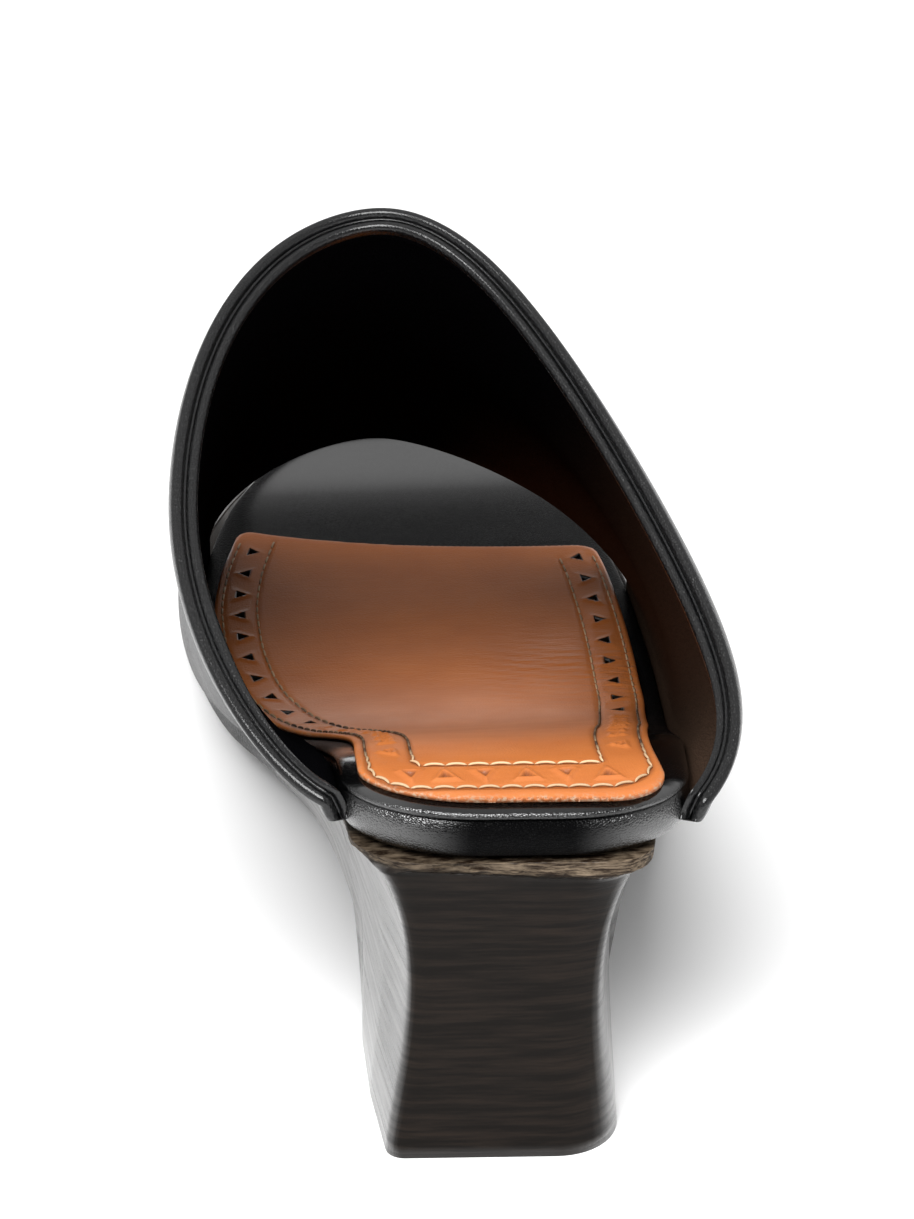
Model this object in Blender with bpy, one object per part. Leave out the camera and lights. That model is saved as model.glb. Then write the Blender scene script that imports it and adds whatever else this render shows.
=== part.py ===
"""Heeled wooden mule, right shoe: carved wooden sole, wrapped footbed, sock lining and leather hood.

Toe towards +Y, lateral side towards +X, floor at z = 0. Sizes are in millimetres until the meshes are
made. `along` is measured from the back of the seat to the toe.
"""
import bpy
import numpy as np

MM = 0.001
FIT_GAP = 0.3                 # air between neighbouring pieces

# Overall sizes
LENGTH = 258.0                # station of the footbed's toe
SEAT_BACK = 1.4               # station of the footbed's back edge
SOCK = 1.2                    # sock lining thickness
WALL = 2.6                    # upper: leather, padding and lining together
RIM_STEP = 0.9                # how far the folded topline stands proud of each face of the wall
RIM_WIDTH = 5.0

# Footbed: half widths either side of the axis, height of its top above the floor, thickness of the board
FOOTBED_COLUMNS = ("along", "medial", "lateral", "height", "board")
FOOTBED_ROWS = (
    (0.0, 24.8, 26.6, 61.7, 9.1),
    (14.0, 24.8, 27.4, 61.1, 9.1),
    (28.0, 24.6, 29.2, 57.6, 9.1),
    (49.0, 24.2, 32.4, 48.7, 8.7),
    (74.0, 24.2, 35.6, 37.0, 7.9),
    (96.0, 26.4, 38.2, 26.7, 6.6),
    (109.0, 28.4, 39.8, 20.8, 5.8),
    (122.0, 30.6, 41.4, 16.2, 5.2),
    (137.0, 34.6, 42.7, 13.5, 4.8),
    (156.0, 38.5, 43.6, 12.6, 4.5),
    (176.0, 40.2, 43.8, 12.5, 4.5),
    (205.0, 40.8, 43.6, 13.2, 4.5),
    (232.0, 40.8, 43.2, 15.6, 4.5),
    (258.0, 40.8, 43.0, 19.4, 4.5),
)
TOE_START = 176.0             # the toe's rounding begins here
TOE_BLUNT = 2.4               # 2 would be an ellipse
TOE_CLOSE = 0.997             # share of the toe's length at which its outline is closed by a flat end
SEAT_CORNER = (14.5, 20.0)    # oval corners at the back: along, across
SEAT_SKEW = -0.07             # the back edge leans away from square to the axis
SEAT_SKEW_REACH = 55.0
TOE_OFFSET = 1.5              # the toe's tip sits this far lateral of the axis

# Footbed edge: how far in from the widest line, and how far down from the top as a share of the board
EDGE_COLUMNS = ("inset", "depth")
EDGE_ROWS = ((3.2, 0.0), (1.3, 0.04), (0.25, 0.16), (0.0, 0.34), (0.6, 0.58), (2.2, 0.84), (4.8, 1.0))
EDGE_END_REACH = 9.0          # over this length at heel and toe the edge's roll turns the corner
EDGE_FULL_WIDTH = 24.0        # a board narrower than this has a narrower roll

# Sock lining outline
SOCK_COLUMNS = ("along", "medial", "lateral")
SOCK_ROWS = (
    (2.0, 22.2, 22.8),
    (24.0, 21.8, 23.0),
    (49.0, 20.4, 26.4),
    (74.0, 19.6, 30.6),
    (94.0, 21.4, 33.6),
    (106.0, 24.2, 35.4),
    (119.0, 28.2, 37.2),
    (128.0, 31.4, 38.4),
    (140.0, 35.0, 39.3),
    (156.0, 37.6, 40.2),
    (176.0, 38.4, 40.6),
    (194.0, 36.8, 40.2),
    (218.0, 31.4, 37.2),
)
SOCK_CORNER = ((11.5, 18.0), (8.0, 9.0))  # medial and lateral
SOCK_BACK = 3.4
SOCK_FRONT = (216.0, 204.0)   # where the front edge meets the medial and lateral edges
SOCK_FRONT_SAG = 3.0          # the front edge is a little hollow

# Wooden sole: one row for each section, upper edge first, then the lower edge it is carved down to
SOLE_COLUMNS = ("top_along", "top_medial", "top_lateral", "low_along", "low_height", "low_medial",
                "low_lateral", "cove_medial", "cove_lateral", "cove_back")
SOLE_ROWS = (
    (2.8, 23.4, 20.8, 5.0, 0.0, 19.6, 17.0, 6.0, 5.2, 3.0),
    (14.0, 23.6, 22.2, 14.0, 0.0, 19.8, 17.5, 5.4, 5.0, 0.0),
    (30.0, 23.8, 25.8, 27.0, 0.0, 20.0, 18.8, 4.2, 4.8, 0.0),
    (48.0, 24.0, 29.4, 40.0, 0.0, 20.0, 20.0, 3.2, 4.6, 0.0),
    (60.0, 24.2, 32.0, 49.0, 0.0, 19.3, 20.4, 2.6, 4.2, 0.0),
    (66.0, 24.4, 33.4, 54.0, 6.0, 19.4, 22.0, 2.2, 3.6, 0.0),
    (74.0, 24.6, 35.0, 63.0, 13.5, 19.9, 25.6, 1.6, 2.8, 0.0),
    (86.0, 25.6, 37.4, 80.0, 11.0, 20.8, 30.6, 1.0, 1.4, 0.0),
    (100.0, 27.6, 40.2, 97.0, 5.6, 21.2, 35.6, 0.5, 0.8, 0.0),
    (115.0, 30.0, 42.8, 113.0, 1.6, 22.2, 39.4, 0.2, 0.4, 0.0),
    (131.0, 34.2, 45.0, 129.0, 0.0, 26.2, 41.6, 0.0, 0.0, 0.0),
    (156.0, 41.0, 46.8, 155.0, 0.0, 35.4, 43.4, 0.0, 0.0, 0.0),
    (178.0, 44.4, 47.0, 177.0, 0.0, 40.2, 43.6, 0.0, 0.0, 0.0),
    (204.0, 45.6, 47.0, 201.0, 0.0, 42.0, 43.6, 0.0, 0.0, 0.0),
    (234.0, 45.8, 46.8, 229.0, 2.4, 42.0, 43.4, 0.0, 0.0, 0.0),
    (261.0, 45.6, 46.6, 254.0, 6.4, 41.8, 43.2, 0.0, 0.0, 0.0),
)
COVE_POWERS = (0.7, 1.3)      # the flank's hollow is deepest a third of the way down
SOLE_CORNER_TOP = ((11.0, 11.0), (7.0, 7.0))
SOLE_CORNER_LOW = ((10.0, 10.0), (10.0, 10.0))
SOLE_TOE_START = 174.0

# Upper: one row for each arch over the foot, from the topline (share 0) to the toe edge (share 1)
UPPER_COLUMNS = ("share", "medial_along", "lateral_along", "crown_x", "crown_along", "crown_height", "hem",
                 "spring", "tuck", "belly_medial", "fill_medial", "belly_lateral", "flare_lateral",
                 "round_medial", "round_lateral")
UPPER_ROWS = (
    (0.00, 11.0, 9.0, -8.2, 100.0, 121.0, 2.8, 6.0, 1.3, 20.8, 0.78, 0.2, 7.4, 2.62, 1.66),
    (0.28, 72.0, 66.0, -8.0, 127.0, 93.6, 0.6, 6.0, 0.8, 19.4, 0.60, 0.4, 2.0, 2.35, 1.66),
    (0.55, 124.0, 116.0, -8.0, 154.0, 72.0, 0.0, 5.9, 0.3, 12.8, 0.50, 2.0, 0.0, 2.3, 1.85),
    (0.80, 168.0, 158.0, -6.5, 181.0, 53.0, 0.0, 5.2, 0.0, 2.8, 0.50, 1.0, 0.0, 2.2, 1.6),
    (1.00, 214.0, 190.0, -4.5, 207.0, 40.8, 0.0, 5.2, 0.0, 0.0, 0.50, 0.0, 0.0, 1.72, 1.45),
)
BELLY_POWER = 0.5             # how full the belly is near both ends of an arch; fill_medial stands in below
FLARE_AT = 0.21               # share of the arch height where the lateral flare is widest
HEM_TURN = 0.09               # share of each side that runs from the hem up to the spring line
CROWN_EASE = 0.06             # share of the arch over which its two sides are blended at the crown
CROWN_REACH = 0.22            # the blend dies out this far from the crown
CROWN_TAPS = ((-1.0, 1.0), (-0.5, 4.0), (0.0, 6.0), (0.5, 4.0), (1.0, 1.0))  # blend: offset, weight
RIM_COLUMNS = ("back", "proud")
RIM_ROWS = ((0.0, -0.5), (0.1, 0.55), (0.32, 1.0), (0.76, 1.0), (0.92, 0.6), (1.06, 0.0))
RIM_HEM_FADE = (0.12, 0.26)   # the rim's inner step fades in over this share of each side, above the hem

# Mesh densities
END_CROWDING = 0.7            # how strongly stations crowd towards the ends
SOLE_STATIONS, SOLE_ACROSS, SOLE_DOWN = 54, 8, 8
FOOTBED_STATIONS, FOOTBED_ACROSS = 40, 8
SOCK_STATIONS, SOCK_ACROSS = 34, 8
UPPER_STATIONS, UPPER_ARCH = 18, 34


def spline(at, table, columns, name, key):
    """Smooth curve through one named column of a table against its key column (cubic Hermite)."""
    rows = np.array(table, float)
    x, y = rows[:, columns.index(key)], rows[:, columns.index(name)]
    chord = np.diff(y) / np.diff(x)
    slope = np.empty_like(y)
    slope[1:-1] = (chord[:-1] * np.diff(x)[1:] + chord[1:] * np.diff(x)[:-1]) / (x[2:] - x[:-2])
    slope[0], slope[-1] = chord[0], chord[-1]
    flat = chord[:-1] * chord[1:] <= 0
    slope[1:-1][flat] = 0.0
    at = np.clip(np.asarray(at, float), x[0], x[-1])
    k = np.clip(np.searchsorted(x, at, side="right") - 1, 0, len(x) - 2)
    h = x[k + 1] - x[k]
    s = (at - x[k]) / h
    return ((2 * s**3 - 3 * s**2 + 1) * y[k] + (s**3 - 2 * s**2 + s) * h * slope[k]
            + (3 * s**2 - 2 * s**3) * y[k + 1] + (s**3 - s**2) * h * slope[k + 1])


def ease(s):
    """Smooth step from 0 to 1."""
    s = np.clip(s, 0.0, 1.0)
    return s * s * (3.0 - 2.0 * s)


def end_spaced(start, stop, count):
    """Stations that crowd towards both ends, where the outlines turn."""
    s = 0.5 - 0.5 * np.cos(np.pi * np.linspace(0.0, 1.0, count))
    even = np.linspace(0.0, 1.0, count)
    return start + (stop - start) * (END_CROWDING * s + (1.0 - END_CROWDING) * even)


def toe_share(along, start, end):
    """Share of the half width that is left towards the toe: a blunt ellipse."""
    s = np.clip((along - start) / (end - start), 0.0, TOE_CLOSE)
    return (1.0 - s**TOE_BLUNT) ** (1.0 / TOE_BLUNT)


def corner_cut(along, back, corner):
    """How much an oval plan corner takes off the half width near the back edge."""
    reach, across = corner
    s = np.clip((along - back) / reach, 0.0, 1.0)
    return across * (1.0 - np.sqrt(1.0 - (1.0 - s) ** 2))


def skew(along, x):
    """Station shift that leans the back edge away from square."""
    return SEAT_SKEW * x * (1.0 - ease(along / SEAT_SKEW_REACH))


def footbed(name, along):
    """One footbed column at the given stations."""
    return spline(along, FOOTBED_ROWS, FOOTBED_COLUMNS, name, "along")


def footbed_edges(along):
    """Medial and lateral x of the footbed's widest line."""
    share = toe_share(along, TOE_START, LENGTH)
    shift = TOE_OFFSET * ease((along - TOE_START) / (LENGTH - TOE_START))
    corner = corner_cut(along, SEAT_BACK, SEAT_CORNER)
    medial, lateral = ((footbed(side, along) - corner) * share for side in ("medial", "lateral"))
    return shift - medial, shift + lateral


def loft(rings, across, down):
    """Vertices and faces of a closed solid: rings of top, side, bottom and side points, with gridded ends.

    Each ring runs along the top from medial to lateral (across + 1 points), down the lateral side
    (down - 1), back along the bottom (across + 1) and up the medial side (down - 1).
    """
    stations, count, _ = rings.shape
    verts = rings.reshape(-1, 3)
    faces = []
    for i in range(stations - 1):
        for j in range(count):
            k = (j + 1) % count
            faces.append((i * count + j, i * count + k, (i + 1) * count + k, (i + 1) * count + j))
    extra = []
    for i, flip in ((0, False), (stations - 1, True)):
        grid = np.zeros((down + 1, across + 1), int)
        grid[0] = i * count + np.arange(across + 1)
        grid[down] = i * count + across + down + np.arange(across, -1, -1)
        for d in range(1, down):
            right, left = i * count + across + d, i * count + (count - d)
            grid[d, 0], grid[d, across] = left, right
            for a in range(1, across):
                s = a / across
                grid[d, a] = len(verts) + len(extra)
                top, low = verts[grid[0, a]], verts[grid[down, a]]
                flat = (1 - s) * verts[left] + s * verts[right]
                ends = (1 - s) * (verts[grid[0, 0]] + (verts[grid[down, 0]] - verts[grid[0, 0]]) * d / down)
                ends = ends + s * (verts[grid[0, across]]
                                   + (verts[grid[down, across]] - verts[grid[0, across]]) * d / down)
                extra.append(flat + top + (low - top) * d / down - ends)
        for d in range(down):
            for a in range(across):
                quad = (grid[d, a], grid[d + 1, a], grid[d + 1, a + 1], grid[d, a + 1])
                faces.append(quad[::-1] if flip else quad)
    if extra:
        verts = np.vstack([verts, np.array(extra)])
    return verts, faces


def shell(outer, inner):
    """Vertices and faces of a solid between two grids of the same shape."""
    rows, cols, _ = outer.shape
    verts = np.vstack([outer.reshape(-1, 3), inner.reshape(-1, 3)])
    far = rows * cols
    faces = []
    for i in range(rows - 1):
        for j in range(cols - 1):
            a, b = i * cols + j, i * cols + j + 1
            c, d = a + cols, b + cols
            faces.append((a, b, d, c))
            faces.append((far + a, far + c, far + d, far + b))
    for j in range(cols - 1):
        last = (rows - 1) * cols + j
        faces.append((j, far + j, far + j + 1, j + 1))
        faces.append((last, last + 1, far + last + 1, far + last))
    for i in range(rows - 1):
        left, right = i * cols, i * cols + cols - 1
        faces.append((left, left + cols, far + left + cols, far + left))
        faces.append((right, far + right, far + right + cols, right + cols))
    return verts, faces


def footbed_rings():
    """Rings of the wrapped board: flat top, rounded roll at the edge, tucked in underneath."""
    along = end_spaced(SEAT_BACK, LENGTH, FOOTBED_STATIONS)
    left, right = footbed_edges(along)
    edge = np.array(EDGE_ROWS)
    edge_inset, edge_depth = edge[:, EDGE_COLUMNS.index("inset")], edge[:, EDGE_COLUMNS.index("depth")]
    down = len(EDGE_ROWS) - 1
    rings = []
    for y, a, b in zip(along, left, right):
        near = 1.0 - ease(min(y - SEAT_BACK, LENGTH - y) / EDGE_END_REACH)
        inset = edge_inset * min(1.0, (b - a) / EDGE_FULL_WIDTH)
        depth = edge_depth * float(footbed("board", y))
        draw = near * (edge_inset if y < LENGTH / 2 else -edge_inset)
        ring = []
        level = footbed("height", y + draw) - depth
        for s in np.linspace(0.0, 1.0, FOOTBED_ACROSS + 1):
            ring.append((a + inset[0] + (b - a - 2 * inset[0]) * s, y + draw[0], level[0]))
        for k in range(1, down):
            ring.append((b - inset[k], y + draw[k], level[k]))
        for s in np.linspace(1.0, 0.0, FOOTBED_ACROSS + 1):
            ring.append((a + inset[down] + (b - a - 2 * inset[down]) * s, y + draw[down], level[down]))
        for k in range(down - 1, 0, -1):
            ring.append((a + inset[k], y + draw[k], level[k]))
        ring = np.array(ring)
        ring[:, 1] += skew(y, ring[:, 0])
        rings.append(ring)
    return np.array(rings), FOOTBED_ACROSS, down


def sock_rings():
    """Rings of the sock lining: an even sheet that follows the footbed's top."""
    rings = []
    for y in end_spaced(0.0, 1.0, SOCK_STATIONS):
        cross = np.linspace(-1.0, 1.0, SOCK_ACROSS + 1)
        end = SOCK_FRONT[0] + (SOCK_FRONT[1] - SOCK_FRONT[0]) * (cross + 1) / 2
        end = end - SOCK_FRONT_SAG * (1 - cross**2)
        along = SOCK_BACK + (end - SOCK_BACK) * y
        medial = spline(along, SOCK_ROWS, SOCK_COLUMNS, "medial", "along")
        lateral = spline(along, SOCK_ROWS, SOCK_COLUMNS, "lateral", "along")
        medial = medial - corner_cut(along, SOCK_BACK, SOCK_CORNER[0])
        lateral = lateral - corner_cut(along, SOCK_BACK, SOCK_CORNER[1])
        x = np.where(cross < 0, cross * medial, cross * lateral) + 0.0
        where = along + skew(along, x)
        low = footbed("height", along) + FIT_GAP
        bottom = np.column_stack([x, where, low])
        rings.append(np.vstack([bottom + (0.0, 0.0, SOCK), bottom[::-1]]))
    return np.array(rings), SOCK_ACROSS, 1


def sole(name, at):
    """One sole column at the given section numbers."""
    rows = [(float(i),) + row for i, row in enumerate(SOLE_ROWS)]
    return spline(at, rows, ("section",) + SOLE_COLUMNS, name, "section")


def sole_rings():
    """Rings of the wooden sole: the footbed's seat on top, flanks hollowed down to the tread line."""
    last = len(SOLE_ROWS) - 1
    at = end_spaced(0.0, last, SOLE_STATIONS)
    top_end, low_end = SOLE_ROWS[-1][0], SOLE_ROWS[-1][3]
    top_back, low_back = SOLE_ROWS[0][0], SOLE_ROWS[0][3]
    rise, fall = COVE_POWERS
    deepest = rise / (rise + fall)
    rings = []
    for p in at:
        y_top, y_low = float(sole("top_along", p)), float(sole("low_along", p))
        shares = toe_share(y_top, SOLE_TOE_START, top_end), toe_share(y_low, SOLE_TOE_START, low_end)
        shift = TOE_OFFSET * ease((y_top - TOE_START) / (LENGTH - TOE_START))
        top_z = float(footbed("height", y_top)) - float(footbed("board", y_top)) - FIT_GAP
        low_z = float(sole("low_height", p))
        sides = []
        for i, side in enumerate(("medial", "lateral")):
            top = float(sole("top_" + side, p)) - corner_cut(y_top, top_back, SOLE_CORNER_TOP[i])
            low = float(sole("low_" + side, p)) - corner_cut(y_low, low_back, SOLE_CORNER_LOW[i])
            sides.append((top * shares[0], low * shares[1], float(sole("cove_" + side, p))))
        back = float(sole("cove_back", p)) * (1.0 - ease(p))

        def flank(w, i):
            top, low, cove = sides[i]
            hollow = (w / deepest) ** rise * ((1.0 - w) / (1.0 - deepest)) ** fall
            x = top + (low - top) * w - cove * hollow
            y = y_top + (y_low - y_top) * w + back * hollow
            return ((-x if i == 0 else x) + shift, y, top_z + (low_z - top_z) * w)

        ring = []
        for s in np.linspace(0.0, 1.0, SOLE_ACROSS + 1):
            ring.append(np.array(flank(0.0, 0)) * (1 - s) + np.array(flank(0.0, 1)) * s)
        for w in np.linspace(0.0, 1.0, SOLE_DOWN + 1)[1:-1]:
            ring.append(flank(w, 1))
        for s in np.linspace(1.0, 0.0, SOLE_ACROSS + 1):
            ring.append(np.array(flank(1.0, 0)) * (1 - s) + np.array(flank(1.0, 1)) * s)
        for w in np.linspace(0.0, 1.0, SOLE_DOWN + 1)[-2:0:-1]:
            ring.append(flank(w, 0))
        ring = np.array(ring, float)
        ring[:, 1] += skew(y_top, ring[:, 0])
        rings.append(ring)
    return np.array(rings), SOLE_ACROSS, SOLE_DOWN


def upper(name, share):
    """One upper column at the given shares between topline and toe edge."""
    return spline(share, UPPER_ROWS, UPPER_COLUMNS, name, "share")


def arch_side(share, q, side):
    """Points of one side of the arches: share along the upper, q from spring line (0) to crown (1)."""
    sign = -1.0 if side == "medial" else 1.0
    foot = upper(side + "_along", share)
    which = 0 if side == "medial" else 1
    slant = footbed_edges(foot + 0.5)[which] - footbed_edges(foot - 0.5)[which]
    edge = footbed_edges(foot)[which] + sign * (FIT_GAP + WALL) * np.sqrt(1.0 + slant**2)
    seat = footbed("height", foot) - footbed("board", foot)
    base, spring = seat + upper("hem", share), seat + upper("spring", share)
    round_off = upper("round_" + side, share)
    side_share = (1.0 - q**round_off) ** (1.0 / round_off)
    swell = np.clip(4.0 * q * (1.0 - q), 0.0, 1.0)
    low_power = upper("fill_medial", share) if side == "medial" else BELLY_POWER
    belly = np.where(q < 0.5, swell**low_power, swell**BELLY_POWER) * upper("belly_" + side, share)
    if side == "lateral":
        belly = belly + upper("flare_lateral", share) * (q / FLARE_AT) * np.exp(1.0 - q / FLARE_AT)
    crown_x = upper("crown_x", share)
    x = crown_x + (edge - crown_x) * side_share + sign * belly
    y = foot + (upper("crown_along", share) - foot) * q
    z = spring + (upper("crown_height", share) - spring) * q
    where = skew(foot, edge)
    hem = edge - sign * upper("tuck", share)
    arch = np.stack([x, y + where, z], axis=-1)
    base_line = np.stack(np.broadcast_arrays(hem, foot + where, base, q)[:3], axis=-1)
    return arch, base_line


def upper_arches(share, turn):
    """Arches of the hood: turn runs 0 at the medial base, over the crown at 0.5, to 1 at the lateral base."""
    half = np.where(turn < 0.5, turn, 1.0 - turn) * 2.0
    q = np.sin(0.5 * np.pi * np.clip((half - HEM_TURN) / (1.0 - HEM_TURN), 0.0, 1.0))
    low = np.clip(half / HEM_TURN, 0.0, 1.0)[..., None]
    points = []
    for side in ("medial", "lateral"):
        arch, base = arch_side(share, q, side)
        points.append(np.where(low < 1.0, base + (arch - base) * low, arch))
    return np.where((turn < 0.5)[..., None], points[0], points[1])


def upper_surface(share, turn):
    """Outer face of the hood: the arches, with the two sides eased into each other over the crown."""
    reach = CROWN_EASE * ease(1.0 - np.abs(turn - 0.5) / CROWN_REACH)
    total = sum(weight for _, weight in CROWN_TAPS)
    return sum(weight * upper_arches(share, turn + k * reach) for k, weight in CROWN_TAPS) / total


def upper_grids():
    """Outer and inner grids of the hood, with the folded topline standing proud of both."""
    turn = np.linspace(0.0, 1.0, UPPER_ARCH + 1)
    probe = upper_surface(*np.meshgrid(np.linspace(0.0, 1.0, UPPER_STATIONS), turn, indexing="ij"))
    reach = np.linalg.norm(np.diff(probe, axis=0), axis=2).sum(axis=0)
    rim_rows = np.array(RIM_ROWS)
    rim = rim_rows[:, RIM_COLUMNS.index("back")] * RIM_WIDTH
    proud = rim_rows[:, RIM_COLUMNS.index("proud")] * RIM_STEP
    rest = np.linspace(0.0, 1.0, UPPER_STATIONS + 1)[1:, None]
    start = (rim[-1] / reach)[None, :]
    share = np.vstack([rim[:, None] / reach[None, :], start + (1.0 - start) * rest])
    proud = np.concatenate([proud, np.zeros(UPPER_STATIONS)])[:, None, None]
    turns = np.broadcast_to(turn, share.shape)
    face = upper_surface(share, turns)
    step = 1e-3
    ahead, behind = np.clip(share + step, 0, 1), np.clip(share - step, 0, 1)
    over, under = np.clip(turns + step, 0, 1), np.clip(turns - step, 0, 1)
    normal = np.cross(upper_surface(ahead, turns) - upper_surface(behind, turns),
                      upper_surface(share, over) - upper_surface(share, under))
    normal /= np.linalg.norm(normal, axis=2, keepdims=True)
    normal *= np.sign((normal * (face - face.mean(axis=1, keepdims=True))).sum(axis=2).mean())
    side = np.minimum(turn, 1.0 - turn) * 2.0
    above = ease((side - RIM_HEM_FADE[0]) / (RIM_HEM_FADE[1] - RIM_HEM_FADE[0]))[None, :, None]
    outer = face + normal * proud
    inner = face - normal * (WALL + np.where(proud > 0, proud * above, proud))
    for grid in (outer, inner):
        grid[:, 0, 2] = face[:, 0, 2]
        grid[:, -1, 2] = face[:, -1, 2]
    return outer, inner


def make(name, built, collection, colour, roughness):
    """One object with its own material, faces turned outward."""
    verts, faces = built
    mesh = bpy.data.meshes.new(name)
    mesh.from_pydata((np.asarray(verts) * MM).tolist(), [], [tuple(int(i) for i in f) for f in faces])
    mesh.validate()
    obj = bpy.data.objects.new(name, mesh)
    collection.objects.link(obj)
    material = bpy.data.materials.new(name)
    material.use_nodes = True
    shader = material.node_tree.nodes["Principled BSDF"]
    shader.inputs["Base Color"].default_value = colour + (1.0,)
    shader.inputs["Roughness"].default_value = roughness
    mesh.materials.append(material)
    return obj


def main():
    """Clear the file and build the shoe, its box centred over the origin."""
    for obj in list(bpy.data.objects):
        bpy.data.objects.remove(obj, do_unlink=True)
    shoe = bpy.data.collections.new("heeled_mule")
    bpy.context.scene.collection.children.link(shoe)
    pieces = [
        make("wooden_sole", loft(*sole_rings()), shoe, (0.10, 0.05, 0.028), 0.5),
        make("footbed", loft(*footbed_rings()), shoe, (0.015, 0.014, 0.014), 0.45),
        make("sock_lining", loft(*sock_rings()), shoe, (0.45, 0.17, 0.05), 0.45),
        make("upper", shell(*upper_grids()), shoe, (0.012, 0.011, 0.011), 0.4),
    ]
    corners = np.array([v.co for p in pieces for v in p.data.vertices])
    centre = (corners.min(axis=0) + corners.max(axis=0)) / 2
    for piece in pieces:
        for vertex in piece.data.vertices:
            vertex.co.x -= centre[0]
            vertex.co.y -= centre[1]
        piece.data.update()


main()
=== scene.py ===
"""Dressed heeled mule: carved wooden sole, wrapped footbed, stitched sock lining and leather hood.

Sizes are in millimetres in the shoe's own frame: x to the lateral side, y (`along`) from the back of the
heel seat to the toe, z up from the floor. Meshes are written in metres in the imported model's frame.
"""
from __future__ import annotations

import logging  # noqa: E402
from dataclasses import dataclass  # noqa: E402
from enum import Enum  # noqa: E402
from typing import Any  # noqa: E402

import bmesh  # noqa: E402
import bpy  # noqa: E402
import numpy as np  # noqa: E402
from mathutils import Matrix, Vector  # noqa: E402

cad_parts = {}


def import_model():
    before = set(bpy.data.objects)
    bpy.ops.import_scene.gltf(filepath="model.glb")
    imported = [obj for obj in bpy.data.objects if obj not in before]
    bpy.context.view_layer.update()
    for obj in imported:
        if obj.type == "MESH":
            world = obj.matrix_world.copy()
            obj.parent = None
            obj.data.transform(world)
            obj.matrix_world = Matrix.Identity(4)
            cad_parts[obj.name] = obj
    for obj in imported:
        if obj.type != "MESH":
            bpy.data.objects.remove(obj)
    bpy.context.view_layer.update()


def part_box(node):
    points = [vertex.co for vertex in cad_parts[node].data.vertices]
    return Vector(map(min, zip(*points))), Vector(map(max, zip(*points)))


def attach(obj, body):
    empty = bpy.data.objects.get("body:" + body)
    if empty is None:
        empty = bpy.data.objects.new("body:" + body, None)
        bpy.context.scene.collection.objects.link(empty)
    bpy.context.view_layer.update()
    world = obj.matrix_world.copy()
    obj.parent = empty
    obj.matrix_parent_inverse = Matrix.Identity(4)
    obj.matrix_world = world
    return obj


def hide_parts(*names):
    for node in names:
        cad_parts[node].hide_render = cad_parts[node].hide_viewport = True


MM = 0.001  # metres in a millimetre
FIT_GAP = 0.3  # mm left between pieces that lie on each other
WELD = 2e-6  # metres within which mesh points are joined
LOG = logging.getLogger("mule")
Array = np.ndarray
Span = tuple[float, float]
Triple = tuple[float, float, float]
Reach = tuple[float, float, float, float]  # from low to high, to low to high
Arc = tuple[float, float, float, float, float, int]  # centre, radius, first and last angle, points
Colour = Triple
Socket = bpy.types.NodeSocket


class Side(Enum):
    """The two sides of the shoe, with the sign of x."""

    MEDIAL = -1.0
    LATERAL = 1.0


def ease(s: Array | float) -> Array:
    """Smooth step: 3 s squared less 2 s cubed, with s held between 0 and 1."""
    s = np.clip(s, 0.0, 1.0)
    return s * s * (3.0 - 2.0 * s)


def ramp(value: Array | float, start: float, stop: float) -> Array:
    """Smooth step from 0 at start to 1 at stop."""
    return ease((value - start) / (stop - start))


def hump(distance: Array, width: float) -> Array:
    """Bell curve: e to the minus squared ratio of distance to width."""
    return np.exp(-((distance / width) ** 2))


def ripple(at: Array, scale: float, seed: float) -> Array:
    """Uneven wave between about -1 and 1: a sum of five sines whose periods do not fit each other.

    Args:
        at: distances in mm.
        scale: the longest period in mm.
        seed: phase that sets one wave apart from another.

    Returns:
        One value for each distance.
    """
    rates = np.array((1.0, 1.73, 2.91, 4.63, 7.37)) * 2.0 * np.pi / scale
    phases = seed * np.array((1.0, 2.3, 3.9, 5.1, 7.7))
    weights = np.array((1.0, 0.8, 0.6, 0.45, 0.35))
    return (np.sin(np.asarray(at)[..., None] * rates + phases) * weights).sum(axis=-1) / 1.8


def resample(path: Array, count: int, closed: bool = False) -> Array:
    """Points at even steps of arc length along a polyline.

    Args:
        path: points, one row each.
        count: number of points wanted.
        closed: whether the path runs back to its first point.

    Returns:
        The evenly spaced points; on a closed path the first is not repeated.
    """
    if closed:
        path = np.vstack([path, path[:1]])
    arc = np.concatenate([[0.0], np.cumsum(np.linalg.norm(np.diff(path, axis=0), axis=1))])
    want = np.linspace(0.0, arc[-1], count, endpoint=not closed)
    return np.stack([np.interp(want, arc, path[:, k]) for k in range(path.shape[1])], axis=1)


def grid_quads(rows: int, cols: int, wrap_rows: bool = False, wrap_cols: bool = False,
               start: int = 0) -> Array:
    """Quads of a grid of points numbered row by row.

    Args:
        rows: number of rows.
        cols: number of points in a row.
        wrap_rows: whether the last row joins the first.
        wrap_cols: whether the last column joins the first.
        start: number of the grid's first point.

    Returns:
        An array of four point numbers for each quad.
    """
    down = np.arange(rows if wrap_rows else rows - 1)
    right = np.arange(cols if wrap_cols else cols - 1)
    i, j = np.meshgrid(down, right, indexing="ij")
    below, k = (i + 1) % rows, (j + 1) % cols
    corners = [i * cols + j, i * cols + k, below * cols + k, below * cols + j]
    return np.stack(corners, -1).reshape(-1, 4) + start


def nearest(points: Array, path: Array, block: int = 4096) -> Array:
    """Distance from each point to the nearest point of a path, worked out in blocks of points."""
    parts = [np.sqrt(((points[k:k + block, None, :] - path[None]) ** 2).sum(-1).min(axis=1))
             for k in range(0, len(points), block)]
    return np.concatenate(parts)


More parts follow.
